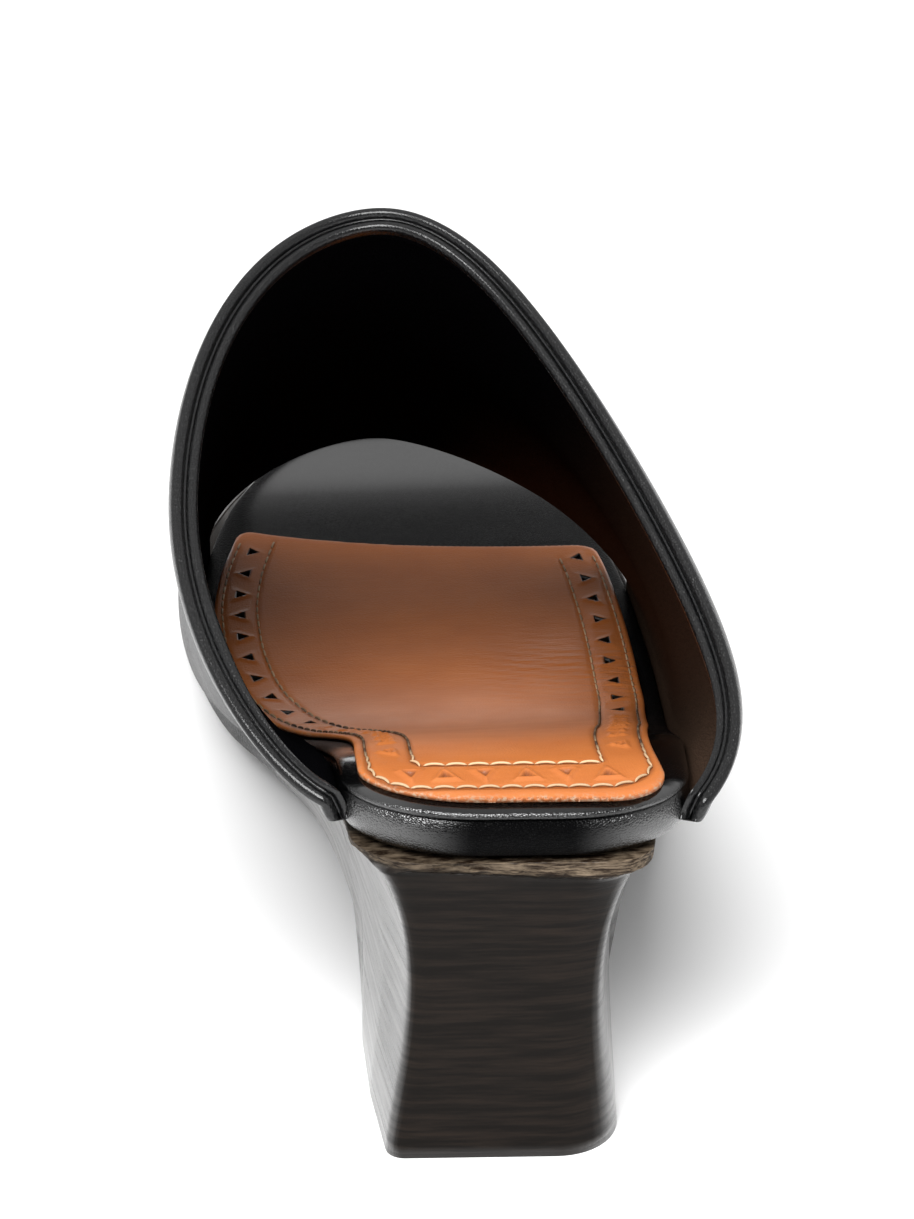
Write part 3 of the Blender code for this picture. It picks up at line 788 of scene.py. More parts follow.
@dataclass(frozen=True)
class WoodenSole:
    """Carved wooden sole: thin forefoot, arch and block heel, with a raw ledge behind the footbed."""

    board: Board
    table: Table = Table(
        ("section", "top_along", "top_medial", "top_lateral", "low_along", "low_height", "low_medial",
         "low_lateral", "cove_medial", "cove_lateral", "cove_back"),
        tuple((float(k),) + row for k, row in enumerate((
            (2.8, 23.4, 20.8, 5.0, 0.0, 19.6, 17.0, 6.0, 5.2, 3.0),
            (14.0, 23.6, 22.2, 14.0, 0.0, 19.8, 17.5, 5.4, 5.0, 0.0),
            (30.0, 23.8, 25.8, 27.0, 0.0, 20.0, 18.8, 4.2, 4.8, 0.0),
            (48.0, 24.0, 29.4, 40.0, 0.0, 20.0, 20.0, 3.2, 4.6, 0.0),
            (60.0, 24.2, 32.0, 49.0, 0.0, 19.3, 20.4, 2.6, 4.2, 0.0),
            (66.0, 24.4, 33.4, 54.0, 6.0, 19.4, 22.0, 2.2, 3.6, 0.0),
            (74.0, 24.6, 35.0, 63.0, 13.5, 19.9, 25.6, 1.6, 2.8, 0.0),
            (86.0, 25.6, 37.4, 80.0, 11.0, 20.8, 30.6, 1.0, 1.4, 0.0),
            (100.0, 27.6, 40.2, 97.0, 5.6, 21.2, 35.6, 0.5, 0.8, 0.0),
            (115.0, 30.0, 42.8, 113.0, 1.6, 22.2, 39.4, 0.2, 0.4, 0.0),
            (131.0, 34.2, 45.0, 129.0, 0.0, 26.2, 41.6, 0.0, 0.0, 0.0),
            (156.0, 41.0, 46.8, 155.0, 0.0, 35.4, 43.4, 0.0, 0.0, 0.0),
            (178.0, 44.4, 47.0, 177.0, 0.0, 40.2, 43.6, 0.0, 0.0, 0.0),
            (204.0, 45.6, 47.0, 201.0, 0.0, 42.0, 43.6, 0.0, 0.0, 0.0),
            (234.0, 45.8, 46.8, 229.0, 2.4, 42.0, 43.4, 0.0, 0.0, 0.0),
            (261.0, 45.6, 46.6, 254.0, 6.4, 41.8, 43.2, 0.0, 0.0, 0.0)))))
    cove_powers: Span = (0.7, 1.3)
    toe_start: float = 174.0
    tip: float = 261.0
    low_tip: float = 254.0
    back: float = 2.8
    low_back: float = 5.0
    corner_top: Span = (11.0, 7.0)
    corner_low: Span = (10.0, 10.0)
    crisp_corner: float = 2.6
    crisp_taper: Span = (1.0, 26.0)
    lip: float = 0.05
    lip_reach: Span = (0.018, 0.052)
    lip_sides: Span = (-20.0, 20.0)
    lip_turn: float = 0.025
    undercut: float = 0.9
    undercut_fade: float = 0.12
    undercut_reach: float = 9.0
    ledge_end: Span = (18.0, 46.0)
    # torn fibres of the lip, backward and upward: height, longest period and phase
    fibres: tuple[Triple, Triple] = ((0.16, 6.0, 1.0), (0.22, 9.0, 4.0))
    fibre_span: Span = (0.75, 2.2)
    fibre_slant: float = 0.8
    # the lost splinter (x and half width) and the shallow shaving beside it (depth and its two ends)
    chip: Span = (-5.5, 2.2)
    shaving: float = 0.55
    shaving_from: Span = (-21.5, -18.5)
    shaving_to: Span = (-8.0, -7.0)
    chip_drop: float = 0.4
    # where the wood is raw and where it is dull
    raw_sides: Span = (-20.0, 4.0)
    raw_share: Span = (0.5, 1.0)
    raw_edge: Triple = (0.2, 8.0, 2.0)
    raw_fade: float = 0.6
    dull_facing: Span = (0.55, 0.85)
    dull_end: float = 30.0
    dull_margin: float = 0.8
    dullness: float = 0.94
    stations: int = 320
    dense: int = 6000
    spaced_at: float = 0.25
    rows: int = 46
    crowding: Span = (0.35, 2.2)
    across: int = 56

    def ledge(self, along: Array) -> Array:
        """Share of the ledge: 1 at the back, 0 ahead of the heel."""
        return 1.0 - ramp(along, *self.ledge_end)

    def seat(self, along: Array) -> Array:
        """Height of the wood's top under the board."""
        return self.board.height(along) - self.board.thickness(along) - FIT_GAP

    def flank(self, section: Array, w: Array, side: Side) -> Array:
        """Flank points: from the top edge to the tread line, less a hollow a third of the way down.

        The hollow is w to the power 0.7 times (1 - w) to the power 1.3, scaled to 1 at its deepest; it starts
        below the ledge's upright lip, and the medial back corner turns crisp under the lip.

        Args:
            section: section numbers, as a column.
            w: shares from top edge to tread line, as a row.
            side: which flank.

        Returns:
            Points with a row for each section and a column for each share.
        """
        k = 0 if side is Side.MEDIAL else 1
        name = side.name.lower()
        y_top, y_low = self.table.at("top_along", section), self.table.at("low_along", section)
        ledge = self.ledge(y_top)
        below = np.clip((w - self.lip * ledge) / (1.0 - self.lip * ledge), 0.0, 1.0)
        under = ease((w - self.lip) / self.lip_turn) * ledge
        crisp = under if side is Side.MEDIAL else 0.0 * under
        radius = self.corner_top[k] + (self.crisp_corner - self.corner_top[k]) * crisp
        taper = self.crisp_taper[0] * crisp * np.clip(1.0 - y_top / self.crisp_taper[1], 0.0, 1.0)
        low_radius = self.corner_low[k] + (self.crisp_corner - self.corner_low[k]) * crisp
        top = self.table.at("top_" + name, section) - taper
        top = top - self.board.corner_cut(y_top, self.back, radius, radius)
        low = self.table.at("low_" + name, section) - taper
        low = low - self.board.corner_cut(y_low, self.low_back, low_radius, low_radius)
        top = top * self.board.toe_share(y_top, self.toe_start, self.tip)
        low = low * self.board.toe_share(y_low, self.toe_start, self.low_tip)
        rise, fall = self.cove_powers
        deepest = rise / (rise + fall)
        hollow = (below / deepest) ** rise * ((1.0 - below) / (1.0 - deepest)) ** fall
        reach = self.lip + (self.lip_reach[k] - self.lip) * ledge
        past = reach + (w - self.lip) * (1.0 - reach) / (1.0 - self.lip)
        down = np.where(w < self.lip, w * reach / self.lip, past)
        step = self.undercut * under * np.exp(-np.clip(w - self.lip, 0.0, 1.0) / self.undercut_fade)
        half = top + (low - top) * down - self.table.at("cove_" + name, section) * hollow - step
        back = self.table.at("cove_back", section) * (1.0 - ease(section))
        x = side.value * half + self.board.toe_shift(y_top)
        inward = step * (1.0 - ease((y_top - self.back) / self.undercut_reach))
        y = y_top + (y_low - y_top) * down + back * hollow + inward
        seat = self.seat(y_top)
        z = seat + (self.table.at("low_height", section) - seat) * down
        return np.stack(np.broadcast_arrays(x, y + self.board.skew(y_top, x), z), axis=-1)

    def sections(self) -> Array:
        """Section numbers at even steps round the plan, so that the corners are as fine as the sides."""
        last = len(self.table.rows) - 1.0
        dense = last * (0.5 - 0.5 * np.cos(np.pi * np.linspace(0.0, 1.0, self.dense)))
        arc = np.zeros(len(dense))
        for side in Side:
            line = self.flank(dense[:, None], np.array([[self.spaced_at]]), side)[:, 0]
            arc[1:] += np.cumsum(np.linalg.norm(np.diff(line, axis=0), axis=1))
        return np.interp(np.linspace(0.0, arc[-1], self.stations), arc, dense)

    def surface(self) -> tuple[Array, Array]:
        """Points of the flanks, back, seat and tread, with their faces.

        The rows go down the flank. Round the plan a row runs down the medial side to the back, straight
        across the back, and along the lateral side to the toe; seat and tread are straight lines between
        the sides.
        """
        at = self.sections()[:, None]
        s = np.linspace(0.0, 1.0, self.rows)
        even, power = self.crowding
        w = (even * s + (1.0 - even) * s**power)[None, :]
        medial, lateral = self.flank(at, w, Side.MEDIAL), self.flank(at, w, Side.LATERAL)
        for side in (medial, lateral):
            side += self.roughness(side, w)
        cross = np.linspace(0.0, 1.0, self.across + 1)[:, None, None]
        behind = medial[0] + (lateral[0] - medial[0]) * cross
        behind[1:-1] += self.roughness(behind, w)[1:-1] + self.chips(behind, w)[1:-1]
        ahead = medial[-1] + (lateral[-1] - medial[-1]) * cross
        ring = np.concatenate([medial[::-1], behind[1:-1], lateral, ahead[::-1][1:-1]]).transpose(1, 0, 2)
        quads = [grid_quads(ring.shape[0], ring.shape[1], wrap_cols=True)]
        points = [ring.reshape(-1, 3)]
        start = points[0].shape[0]
        for row in (0, -1):
            cap = medial[None, :, row] + (lateral[None, :, row] - medial[None, :, row]) * cross
            cap[:, 0], cap[:, -1] = behind[:, row], ahead[:, row]
            points.append(cap.reshape(-1, 3))
            quads.append(grid_quads(cap.shape[0], cap.shape[1], start=start))
            start += cap.shape[0] * cap.shape[1]
        return np.concatenate(points), np.concatenate(quads)

    def roughness(self, points: Array, w: Array) -> Array:
        """Torn fibres of the lip: tenths of a millimetre in y and z, none below it or ahead of the heel."""
        middle, limit = (share * self.lip for share in self.fibre_span)
        lip = (hump(w - middle, middle) * (w < limit) * (w > 0.0))[..., None]
        walk = points[..., 0] - self.fibre_slant * points[..., 1]
        out, up = (tall * ripple(walk, period, phase) for tall, period, phase in self.fibres)
        return np.stack([0.0 * walk, out, up], axis=-1) * lip * self.ledge(points[..., 1:2])

    def chips(self, points: Array, w: Array) -> Array:
        """One splinter lost from the middle of the lip and a long shallow shaving beside it."""
        lip = np.clip(1.0 - w / (2.0 * self.lip), 0.0, 1.0) * (w > 0.0)
        x = points[..., 0]
        shaved = ramp(x, *self.shaving_from) * (1.0 - ramp(x, *self.shaving_to))
        bite = (hump(x - self.chip[0], self.chip[1]) + self.shaving * shaved) * lip
        return np.stack([0.0 * x, bite, -self.chip_drop * bite], axis=-1)

    def build(self, place: Placement, finish: StainedWood) -> bpy.types.Object:
        """Make the piece, mark the raw ledge and dress it."""
        points, quads = self.surface()
        mesh = make_mesh("sole", place.world(points), quads)
        x, y, z = place.local(mesh).T
        seat, ledge = self.seat(y), self.ledge(y)
        below = seat - z - np.interp(x, self.lip_sides, self.lip_reach) * seat
        ragged = below - self.raw_edge[0] * ripple(x, *self.raw_edge[1:])
        raw = np.interp(x, self.raw_sides, self.raw_share) * ledge * (1.0 - ease(ragged / self.raw_fade))
        set_mask(mesh, "raw", raw)
        facing = np.empty(len(mesh.vertices) * 3)
        mesh.vertex_normals.foreach_get("vector", facing)
        behind = ramp(-facing[1::3], *self.dull_facing) * (y < self.dull_end)
        dull = np.maximum(behind, ease((below < self.dull_margin) * ledge))
        set_mask(mesh, "polished", 1.0 - self.dullness * dull)
        return make_piece("carved_sole", mesh, [finish.material()], "wooden_sole")


@dataclass(frozen=True)
class SockLining:
    """Thin tan leather sock with two rows of stitches and with punched and pressed triangles."""

    board: Board
    table: Table = Table(
        ("along", "medial", "lateral"),
        ((2.0, 22.2, 22.8), (24.0, 21.8, 23.0), (49.0, 20.4, 26.4), (74.0, 19.6, 30.6), (94.0, 21.4, 33.6),
         (106.0, 24.2, 35.4), (119.0, 28.2, 37.2), (128.0, 31.4, 38.4), (140.0, 35.0, 39.3),
         (156.0, 37.6, 40.2), (176.0, 38.4, 40.6), (194.0, 36.8, 40.2), (218.0, 31.4, 37.2)))
    thickness: float = 1.2
    widest: float = 40.6
    corner_medial: Span = (11.5, 18.0)
    corner_lateral: Span = (8.0, 9.0)
    back: float = 3.4
    front: Span = (216.0, 204.0)
    front_sag: float = 3.0
    front_corner: Span = (0.11, 3.2)
    edge_round: Span = (0.45, 0.5)
    # each seam: distance from the sides, distance from the back edge, radius of its corners
    outer_seam: Triple = (1.5, 2.6, 8.0)
    inner_seam: Triple = (8.3, 11.2, 2.0)
    seam_end: float = 6.0
    seam_points: int = 1500
    seam_groove: Span = (0.28, 0.55)
    band_middle: float = 7.2
    band_corner: float = 4.0
    # stitches: pitch, length and half thickness; those at the back are longer and bowed
    pitch: float = 3.3
    stitch: Span = (2.7, 0.21)
    stitch_lift: float = 0.1
    stitch_dip: float = 0.35
    stitch_rows: int = 9
    stitch_round: int = 6
    back_stitches: Span = (16.0, 24.0)
    back_longer: float = 0.5
    back_bow: float = 0.28
    tangent_reach: float = 0.6
    # darkening of the thread: real soil on the pale stitches at the back, painted shade along the sides,
    # darkest in the waist
    pale_thread: Span = (14.0, 28.0)
    pale_soil: Span = (0.36, 0.12)
    side_shade: Span = (0.95, 0.45)
    shade_lessens: Span = (116.0, 138.0)
    shade_ripple: Triple = (0.15, 13.0, 2.0)
    # triangles: depth and width of a punched one, half width and half depth of a pressed one
    punch: Span = (2.0, 3.1)
    punch_tip: float = 0.55
    punch_pitch: float = 9.7
    punched_from: float = 112.0
    punch_ridge: Triple = (0.2, 0.2, 0.55)
    punch_reach: Span = (3.0, 4.0)
    press: Span = (1.35, 1.5)
    press_at: tuple[float, ...] = (-14.6, -9.5, -3.7, 2.5, 8.3, 14.4)
    press_station: float = 8.0
    press_ridge: Triple = (0.42, 0.1, 0.42)
    press_floor: Span = (0.4, 0.7)
    side_from: float = 15.0
    # creases under the ball: place and half length, reach across, least share, and the wave's
    # height, length and slant with the wander of its crests
    flex: Span = (143.0, 15.0)
    flex_across: Span = (4.0, 26.0)
    flex_least: float = 0.04
    flex_wave: Triple = (0.07, 3.1, 0.25)
    flex_wander: Triple = (1.2, 30.0, 3.0)
    # masks: worn edge, painted shade on the ball under the hood and along the seams to the waist, and painted
    # shade in the triangles, on the cut walls and at the punched holes
    worn_back: Span = (10.0, 40.0)
    worn_medial: Span = (118.0, 22.0)
    worn_fade: float = 0.3
    ball_shade: float = 0.14
    ball_from: Span = (125.0, 165.0)
    waist_shade: Span = (0.7, 0.5)
    waist_to: Span = (112.0, 132.0)
    seam_shade: float = 0.5
    press_shade: Triple = (0.95, 0.05, 0.40)
    wall_shade: Span = (0.55, 0.75)
    hole_edge: Span = (-0.15, -0.01)
    across: int = 150
    corner_rows: int = 60
    corner_length: float = 12.0
    side_rows: int = 330
    nominal: float = 214.0
    border_points: int = 2400

    def half(self, along: Array, side: Side) -> Array:
        """Half width of the sock with its back corner rounded."""
        corner = self.corner_medial if side is Side.MEDIAL else self.corner_lateral
        return self.table.at(side.name.lower(), along) - self.board.corner_cut(along, self.back, *corner)

    def front_edge(self, cross: Array) -> Array:
        """Station of the front edge: a straight slant, hollow in the middle and round at both corners."""
        corner = np.clip((np.abs(cross) - 1.0) / self.front_corner[0] + 1.0, 0.0, 1.0)
        return (self.front[0] + (self.front[1] - self.front[0]) * (cross + 1.0) / 2.0
                - self.front_sag * (1.0 - cross**2) - self.front_corner[1] * (1.0 - np.sqrt(1.0 - corner**2)))

    def top(self, x: Array, y: Array) -> Array:
        """Height of the sock's plain top face."""
        return self.board.height(self.board.unskew(x, y)) + FIT_GAP + self.thickness

    def seam(self, side_inset: float, back_inset: float, corner: float) -> Array:
        """Plan line of a seam: parallel to both sides and the back edge, round at the two corners.

        Args:
            side_inset: distance from the side edges.
            back_inset: distance from the back edge.
            corner: radius of its corners.

        Returns:
            Points about a third of a millimetre apart, from the medial front to the lateral front.
        """
        turn_at = self.back + back_inset + corner
        ahead = [np.linspace(front - self.seam_end, turn_at, 500) for front in self.front]
        medial = np.column_stack([side_inset - self.table.at("medial", ahead[0]), ahead[0]])
        lateral = np.column_stack([self.table.at("lateral", ahead[1]) - side_inset, ahead[1]])[::-1]
        angle = np.linspace(0.0, np.pi / 2.0, 24)
        inward, back = corner * (1.0 - np.cos(angle)), corner * np.sin(angle)
        first = np.column_stack([medial[-1, 0] + inward, turn_at - back])
        last = np.column_stack([lateral[0, 0] - inward, turn_at - back])[::-1]
        path = np.vstack([medial, first, last, lateral])
        path[:, 1] += self.board.skew(path[:, 1], path[:, 0])
        return resample(path, self.seam_points)

    def along_seam(self, path: Array, pitch: float) -> tuple[Array, Array]:
        """Places at even steps along a seam and its direction there, both in plan."""
        arc = np.concatenate([[0.0], np.cumsum(np.linalg.norm(np.diff(path, axis=0), axis=1))])
        at = np.arange(pitch / 2.0, arc[-1], pitch)
        before, places, after = (np.column_stack([np.interp(at + shift, arc, path[:, k]) for k in (0, 1)])
                                 for shift in (-self.tangent_reach, 0.0, self.tangent_reach))
        return places, (after - before) / np.linalg.norm(after - before, axis=1, keepdims=True)

    def capsules(self, places: Array, ahead: Array, length: Array, bow: Array) -> Array:
        """Low arched beads lying on the sock: round sections along a bowed line whose ends dip into it.

        Args:
            places: plan centres.
            ahead: plan directions.
            length: length of each bead.
            bow: sideways bow of each bead's middle.

        Returns:
            Points by bead, along it and round it.
        """
        radius = self.stitch[1]
        t = np.linspace(-1.0, 1.0, self.stitch_rows)
        sidewise = np.column_stack([-ahead[:, 1], ahead[:, 0]])
        swell = radius * np.sqrt(np.clip(1.0 - t**6, 0.02, 1.0))
        arch = 1.0 - t**2
        plan = (places[:, None] + ahead[:, None] * (t * 0.5)[None, :, None] * length[:, None, None]
                + sidewise[:, None] * (arch[None, :] * bow[:, None])[..., None])
        angle = np.linspace(0.0, 2.0 * np.pi, self.stitch_round + 1)[:-1]
        out, up = swell[:, None] * np.cos(angle)[None], swell[:, None] * np.sin(angle)[None]
        ring = plan[:, :, None] + sidewise[:, None, None] * out[None, ..., None]
        lift = self.stitch_lift * arch - self.stitch_dip * radius * (1.0 - arch)
        z = self.top(plan[..., 0], plan[..., 1])[..., None] + lift[None, :, None] + up[None]
        return np.concatenate([ring, z[..., None]], axis=-1)

    @staticmethod
    def bead_faces(count: int, along: int, round_: int) -> tuple[Array, list[list[int]]]:
        """Quads of many beads and their two end caps each."""
        one = grid_quads(along, round_, wrap_cols=True)
        size = along * round_
        quads = (one[None] + np.arange(count)[:, None, None] * size).reshape(-1, 4)
        ends = np.concatenate([np.arange(round_)[None], size - 1 - np.arange(round_)[None]])
        caps = (ends[None] + np.arange(count)[:, None, None] * size).reshape(-1, round_)
        return quads, caps.tolist()

    def side_triangles(self) -> Array:
        """Corners in plan of the triangles of the side bands, pointing in and out by turns."""
        inset = (self.outer_seam[0] + self.inner_seam[0]) / 2.0
        middle = self.seam(inset, self.band_middle, self.band_corner)
        places, ahead = self.along_seam(middle, self.punch_pitch)
        keep = places[:, 1] > self.side_from
        places, ahead = places[keep], ahead[keep]
        sign = np.where(np.arange(len(places)) % 2 == 0, 1.0, -1.0)[:, None]
        side = np.column_stack([-ahead[:, 1], ahead[:, 0]]) * sign * self.punch[0]
        tip, foot = side * self.punch_tip, side * (1.0 - self.punch_tip)
        wide = ahead * 0.5 * self.punch[1]
        return np.stack([places + tip, places - foot + wide, places - foot - wide], axis=1)

    def punched(self) -> Array:
        """The side triangles that are cut right through: those ahead of the waist."""
        corners = self.side_triangles()
        return corners[corners[..., 1].mean(axis=1) > self.punched_from]

    def pressed(self) -> Array:
        """The triangles that are only pressed in: the rest of the side bands and a row across the back."""
        corners = self.side_triangles()
        x = np.array(self.press_at)
        inset = (self.outer_seam[1] + self.inner_seam[1]) / 2.0
        y = self.back + inset + self.board.skew(self.press_station, x)
        sign = np.where(np.arange(len(x)) % 2 == 0, -1.0, 1.0)
        wide, deep = self.press[0], sign * self.press[1]
        across = np.stack([np.column_stack([x, y + deep]), np.column_stack([x - wide, y - deep]),
                           np.column_stack([x + wide, y - deep])], axis=1)
        return np.concatenate([corners[corners[..., 1].mean(axis=1) <= self.punched_from], across])

    @staticmethod
    def inside(points: Array, triangle: Array) -> Array:
        """Distance inside a triangle, negative outside: the least distance to its three sides."""
        centre = triangle.mean(axis=0)
        depths = []
        for k in range(3):
            a, b = triangle[k], triangle[(k + 1) % 3]
            normal = np.array((a[1] - b[1], b[0] - a[0])) / np.linalg.norm(b - a)
            normal = normal * np.sign(normal @ (centre - a))
            depths.append((points - a) @ normal)
        return np.min(depths, axis=0)

    def relief(self, plan: Array, seams: list[Array]) -> Array:
        """Height of the top face over the plain sheet: sunk seams, pressed triangles and flex waves."""
        rise = np.zeros(len(plan))
        for path in seams:
            rise -= self.seam_groove[0] * hump(nearest(plan, path), self.seam_groove[1])
        for triangle in self.pressed():
            depth = self.inside(plan, triangle)
            tall, off, width = self.press_ridge
            rise += tall * hump(depth + off, width) - self.press_floor[0] * ease(depth / self.press_floor[1])
        for triangle in self.punched():
            tall, off, width = self.punch_ridge
            rise += tall * hump(self.inside(plan, triangle) + off, width)
        tall, length, slant = self.flex_wave
        turn = 2.0 * np.pi * (plan[:, 1] + slant * plan[:, 0]) / length
        wander = self.flex_wander[0] * ripple(plan[:, 0], *self.flex_wander[1:])
        return rise + tall * np.sin(turn + wander) * self.flexed(plan)

    def flexed(self, plan: Array) -> Array:
        """Where the sock has creased under the ball of the foot, strongest near the lateral band."""
        share = self.flex_least + (1.0 - self.flex_least) * ramp(plan[:, 0], *self.flex_across)
        return hump(plan[:, 1] - self.flex[0], self.flex[1]) * share

    def grid(self) -> tuple[Array, int, int]:
        """Plan of the top face on stations crowded at the back corners, by columns across.

        Returns:
            Plan points, the number of rows and the number of columns.
        """
        cross = np.linspace(-1.0, 1.0, self.across + 1)
        near = np.linspace(0.0, 1.0, self.corner_rows, endpoint=False) ** 2 * self.corner_length
        far = np.linspace(self.corner_length / self.nominal, 1.0, self.side_rows)
        share = np.concatenate([near / self.nominal, far])[:, None]
        along = self.back + (self.front_edge(cross)[None] - self.back) * share
        x = np.where(cross < 0, cross * self.half(along, Side.MEDIAL), cross * self.half(along, Side.LATERAL))
        return np.stack([x, along + self.board.skew(along, x)], axis=-1), len(share), len(cross)

    def build(self, place: Placement, finish: TanLeather, thread: Thread) -> list[bpy.types.Object]:
        """Make the sheet with its holes, then the stitches."""
        plan, rows, cols = self.grid()
        flat = plan.reshape(-1, 2)
        seams = [self.seam(*self.outer_seam), self.seam(*self.inner_seam)]
        border = np.concatenate([plan[:, 0], plan[-1, 1:-1], plan[::-1, -1], plan[0, ::-1][1:-1]])
        rim = nearest(flat, resample(border, self.border_points, closed=True))
        plain = self.top(flat[:, 0], flat[:, 1])
        rounded = self.edge_round[0] * np.exp(-rim / self.edge_round[1])
        top = np.column_stack([flat, plain + self.relief(flat, seams) - rounded])
        ring = np.concatenate([np.arange(rows) * cols, (rows - 1) * cols + np.arange(1, cols - 1),
                               np.arange(rows)[::-1] * cols + cols - 1, np.arange(cols - 2, 0, -1)])
        low = np.column_stack([flat[ring], plain[ring] - self.thickness])
        count, size = len(ring), rows * cols
        below = size + np.arange(count)
        side = np.column_stack([ring, np.roll(ring, -1), np.roll(below, -1), below])
        left, right = below[:rows], below[rows + cols - 2:rows + cols - 2 + rows][::-1]
        under = np.column_stack([left[:-1], left[1:], right[1:], right[:-1]])
        ends = [list(map(int, below[rows - 1:rows + cols - 1])),
                list(map(int, np.concatenate([below[2 * rows + cols - 3:], below[:1]])))]
        quads = np.concatenate([grid_quads(rows, cols), side, under])
        mesh = make_mesh("sock", place.world(np.vstack([top, low])), quads, ends)
        mesh = self.pierce(mesh, place)
        self.mark(mesh, place.local(mesh), seams, border)
        return [make_piece("sock_sheet", mesh, [finish.material()], "sock_lining"),
                self.sew(place, seams, thread)]

    def pierce(self, mesh: bpy.types.Mesh, place: Placement) -> bpy.types.Mesh:
        """Cut the punched triangles out of the sheet with upright prisms."""
        corners = self.punched()
        z = self.top(corners[..., 0], corners[..., 1])
        over, below = self.punch_reach
        upper = np.concatenate([corners, (z + over)[..., None]], axis=-1)
        lower = np.concatenate([corners, (z - below)[..., None]], axis=-1)
        points = np.concatenate([upper, lower], axis=1).reshape(-1, 3)
        base = np.arange(len(corners)) * 6
        quads = np.concatenate([np.column_stack([base + a, base + b, base + b + 3, base + a + 3])
                                for a, b in ((0, 1), (1, 2), (2, 0))])
        caps = np.concatenate([np.column_stack([base, base + 1, base + 2]),
                               np.column_stack([base + 3, base + 5, base + 4])]).tolist()
        cutter = new_object("punch", make_mesh("punch", place.world(points), quads, caps))
        sheet = new_object("sheet", mesh)
        cut = sheet.modifiers.new("holes", "BOOLEAN")
        cut.operation, cut.solver, cut.object = "DIFFERENCE", "EXACT", cutter
        bpy.context.view_layer.update()
        result = bpy.data.meshes.new_from_object(sheet.evaluated_get(bpy.context.evaluated_depsgraph_get()))
        for obj in (cutter, sheet):
            data = obj.data
            bpy.data.objects.remove(obj, do_unlink=True)
            bpy.data.meshes.remove(data)
        result.polygons.foreach_set("use_smooth", np.ones(len(result.polygons), bool))
        return result

    def mark(self, mesh: bpy.types.Mesh, local: Array, seams: list[Array], border: Array) -> None:
        """Masks: worn along the cut edge; painted shade in seams, pressed triangles, cut walls and on the
        forefoot; near-black painted shade at the holes; flexed under the ball.

        Args:
            mesh: the sheet.
            local: its vertices in mm.
            seams: plan lines of the seams.
            border: plan line of the edge.
        """
        plan = local[:, :2]
        x, y, z = local.T
        rim = nearest(plan, resample(border, self.border_points, closed=True))
        medial = hump(y - self.worn_medial[0], self.worn_medial[1]) * (x < 0)
        bare = np.clip(1.0 - ramp(y, *self.worn_back) + medial, 0.0, 1.0)
        set_mask(mesh, "worn", np.exp(-rim / self.worn_fade) * bare)
        # painted shade: the forefoot under the hood, the seams to the waist, the pressed triangles and the
        # cut walls
        painted_shade = self.ball_shade * ramp(y, *self.ball_from)
        waist = self.waist_shade[0] - self.waist_shade[1] * ramp(y, *self.waist_to)
        for path in seams:
            painted_shade = np.maximum(painted_shade, waist * hump(nearest(plan, path), self.seam_shade))
        for triangle in self.pressed():
            shade, *span = self.press_shade
            painted_shade = np.maximum(painted_shade, shade * ramp(self.inside(plan, triangle), *span))
        set_mask(mesh, "painted_shade", np.maximum(painted_shade, ramp(self.top(x, y) - z, *self.wall_shade)))
        # painted shade at the rims of the punched holes
        holes = np.max([self.inside(plan, triangle) for triangle in self.punched()], axis=0)
        set_mask(mesh, "painted_hole_shade", ramp(holes, *self.hole_edge))
        set_mask(mesh, "flexed", self.flexed(plan))

    def sew(self, place: Placement, seams: list[Array], thread: Thread) -> bpy.types.Object:
        """Both rows of stitches as one piece: pale and bowed at the back, with painted shade in the waist."""
        parts = [self.along_seam(path, self.pitch) for path in seams]
        places, ahead = (np.concatenate([part[k] for part in parts]) for k in (0, 1))
        along = places[:, 1]
        behind = 1.0 - ramp(along, *self.back_stitches)
        length = self.stitch[0] + self.back_longer * behind
        beads = self.capsules(places, ahead, length, self.back_bow * behind)
        quads, caps = self.bead_faces(*beads.shape[:3])
        mesh = make_mesh("stitches", place.world(beads.reshape(-1, 3)), quads, caps, weld=False)
        outer = np.arange(len(places)) < len(parts[0][0])
        pale = 1.0 - ramp(along, *self.pale_thread)
        # painted shade on the side stitches, darkest in the waist, with an uneven ripple
        dark = self.side_shade[0] - self.side_shade[1] * ramp(along, *self.shade_lessens)
        dark = dark + self.shade_ripple[0] * ripple(along, *self.shade_ripple[1:])
        darkened = pale * np.where(outer, *self.pale_soil) + (1.0 - pale) * dark
        set_mask(mesh, "darkened", np.repeat(np.clip(darkened, 0.0, 1.0), beads.shape[1] * beads.shape[2]))
        return make_piece("sock_stitches", mesh, [thread.material()])


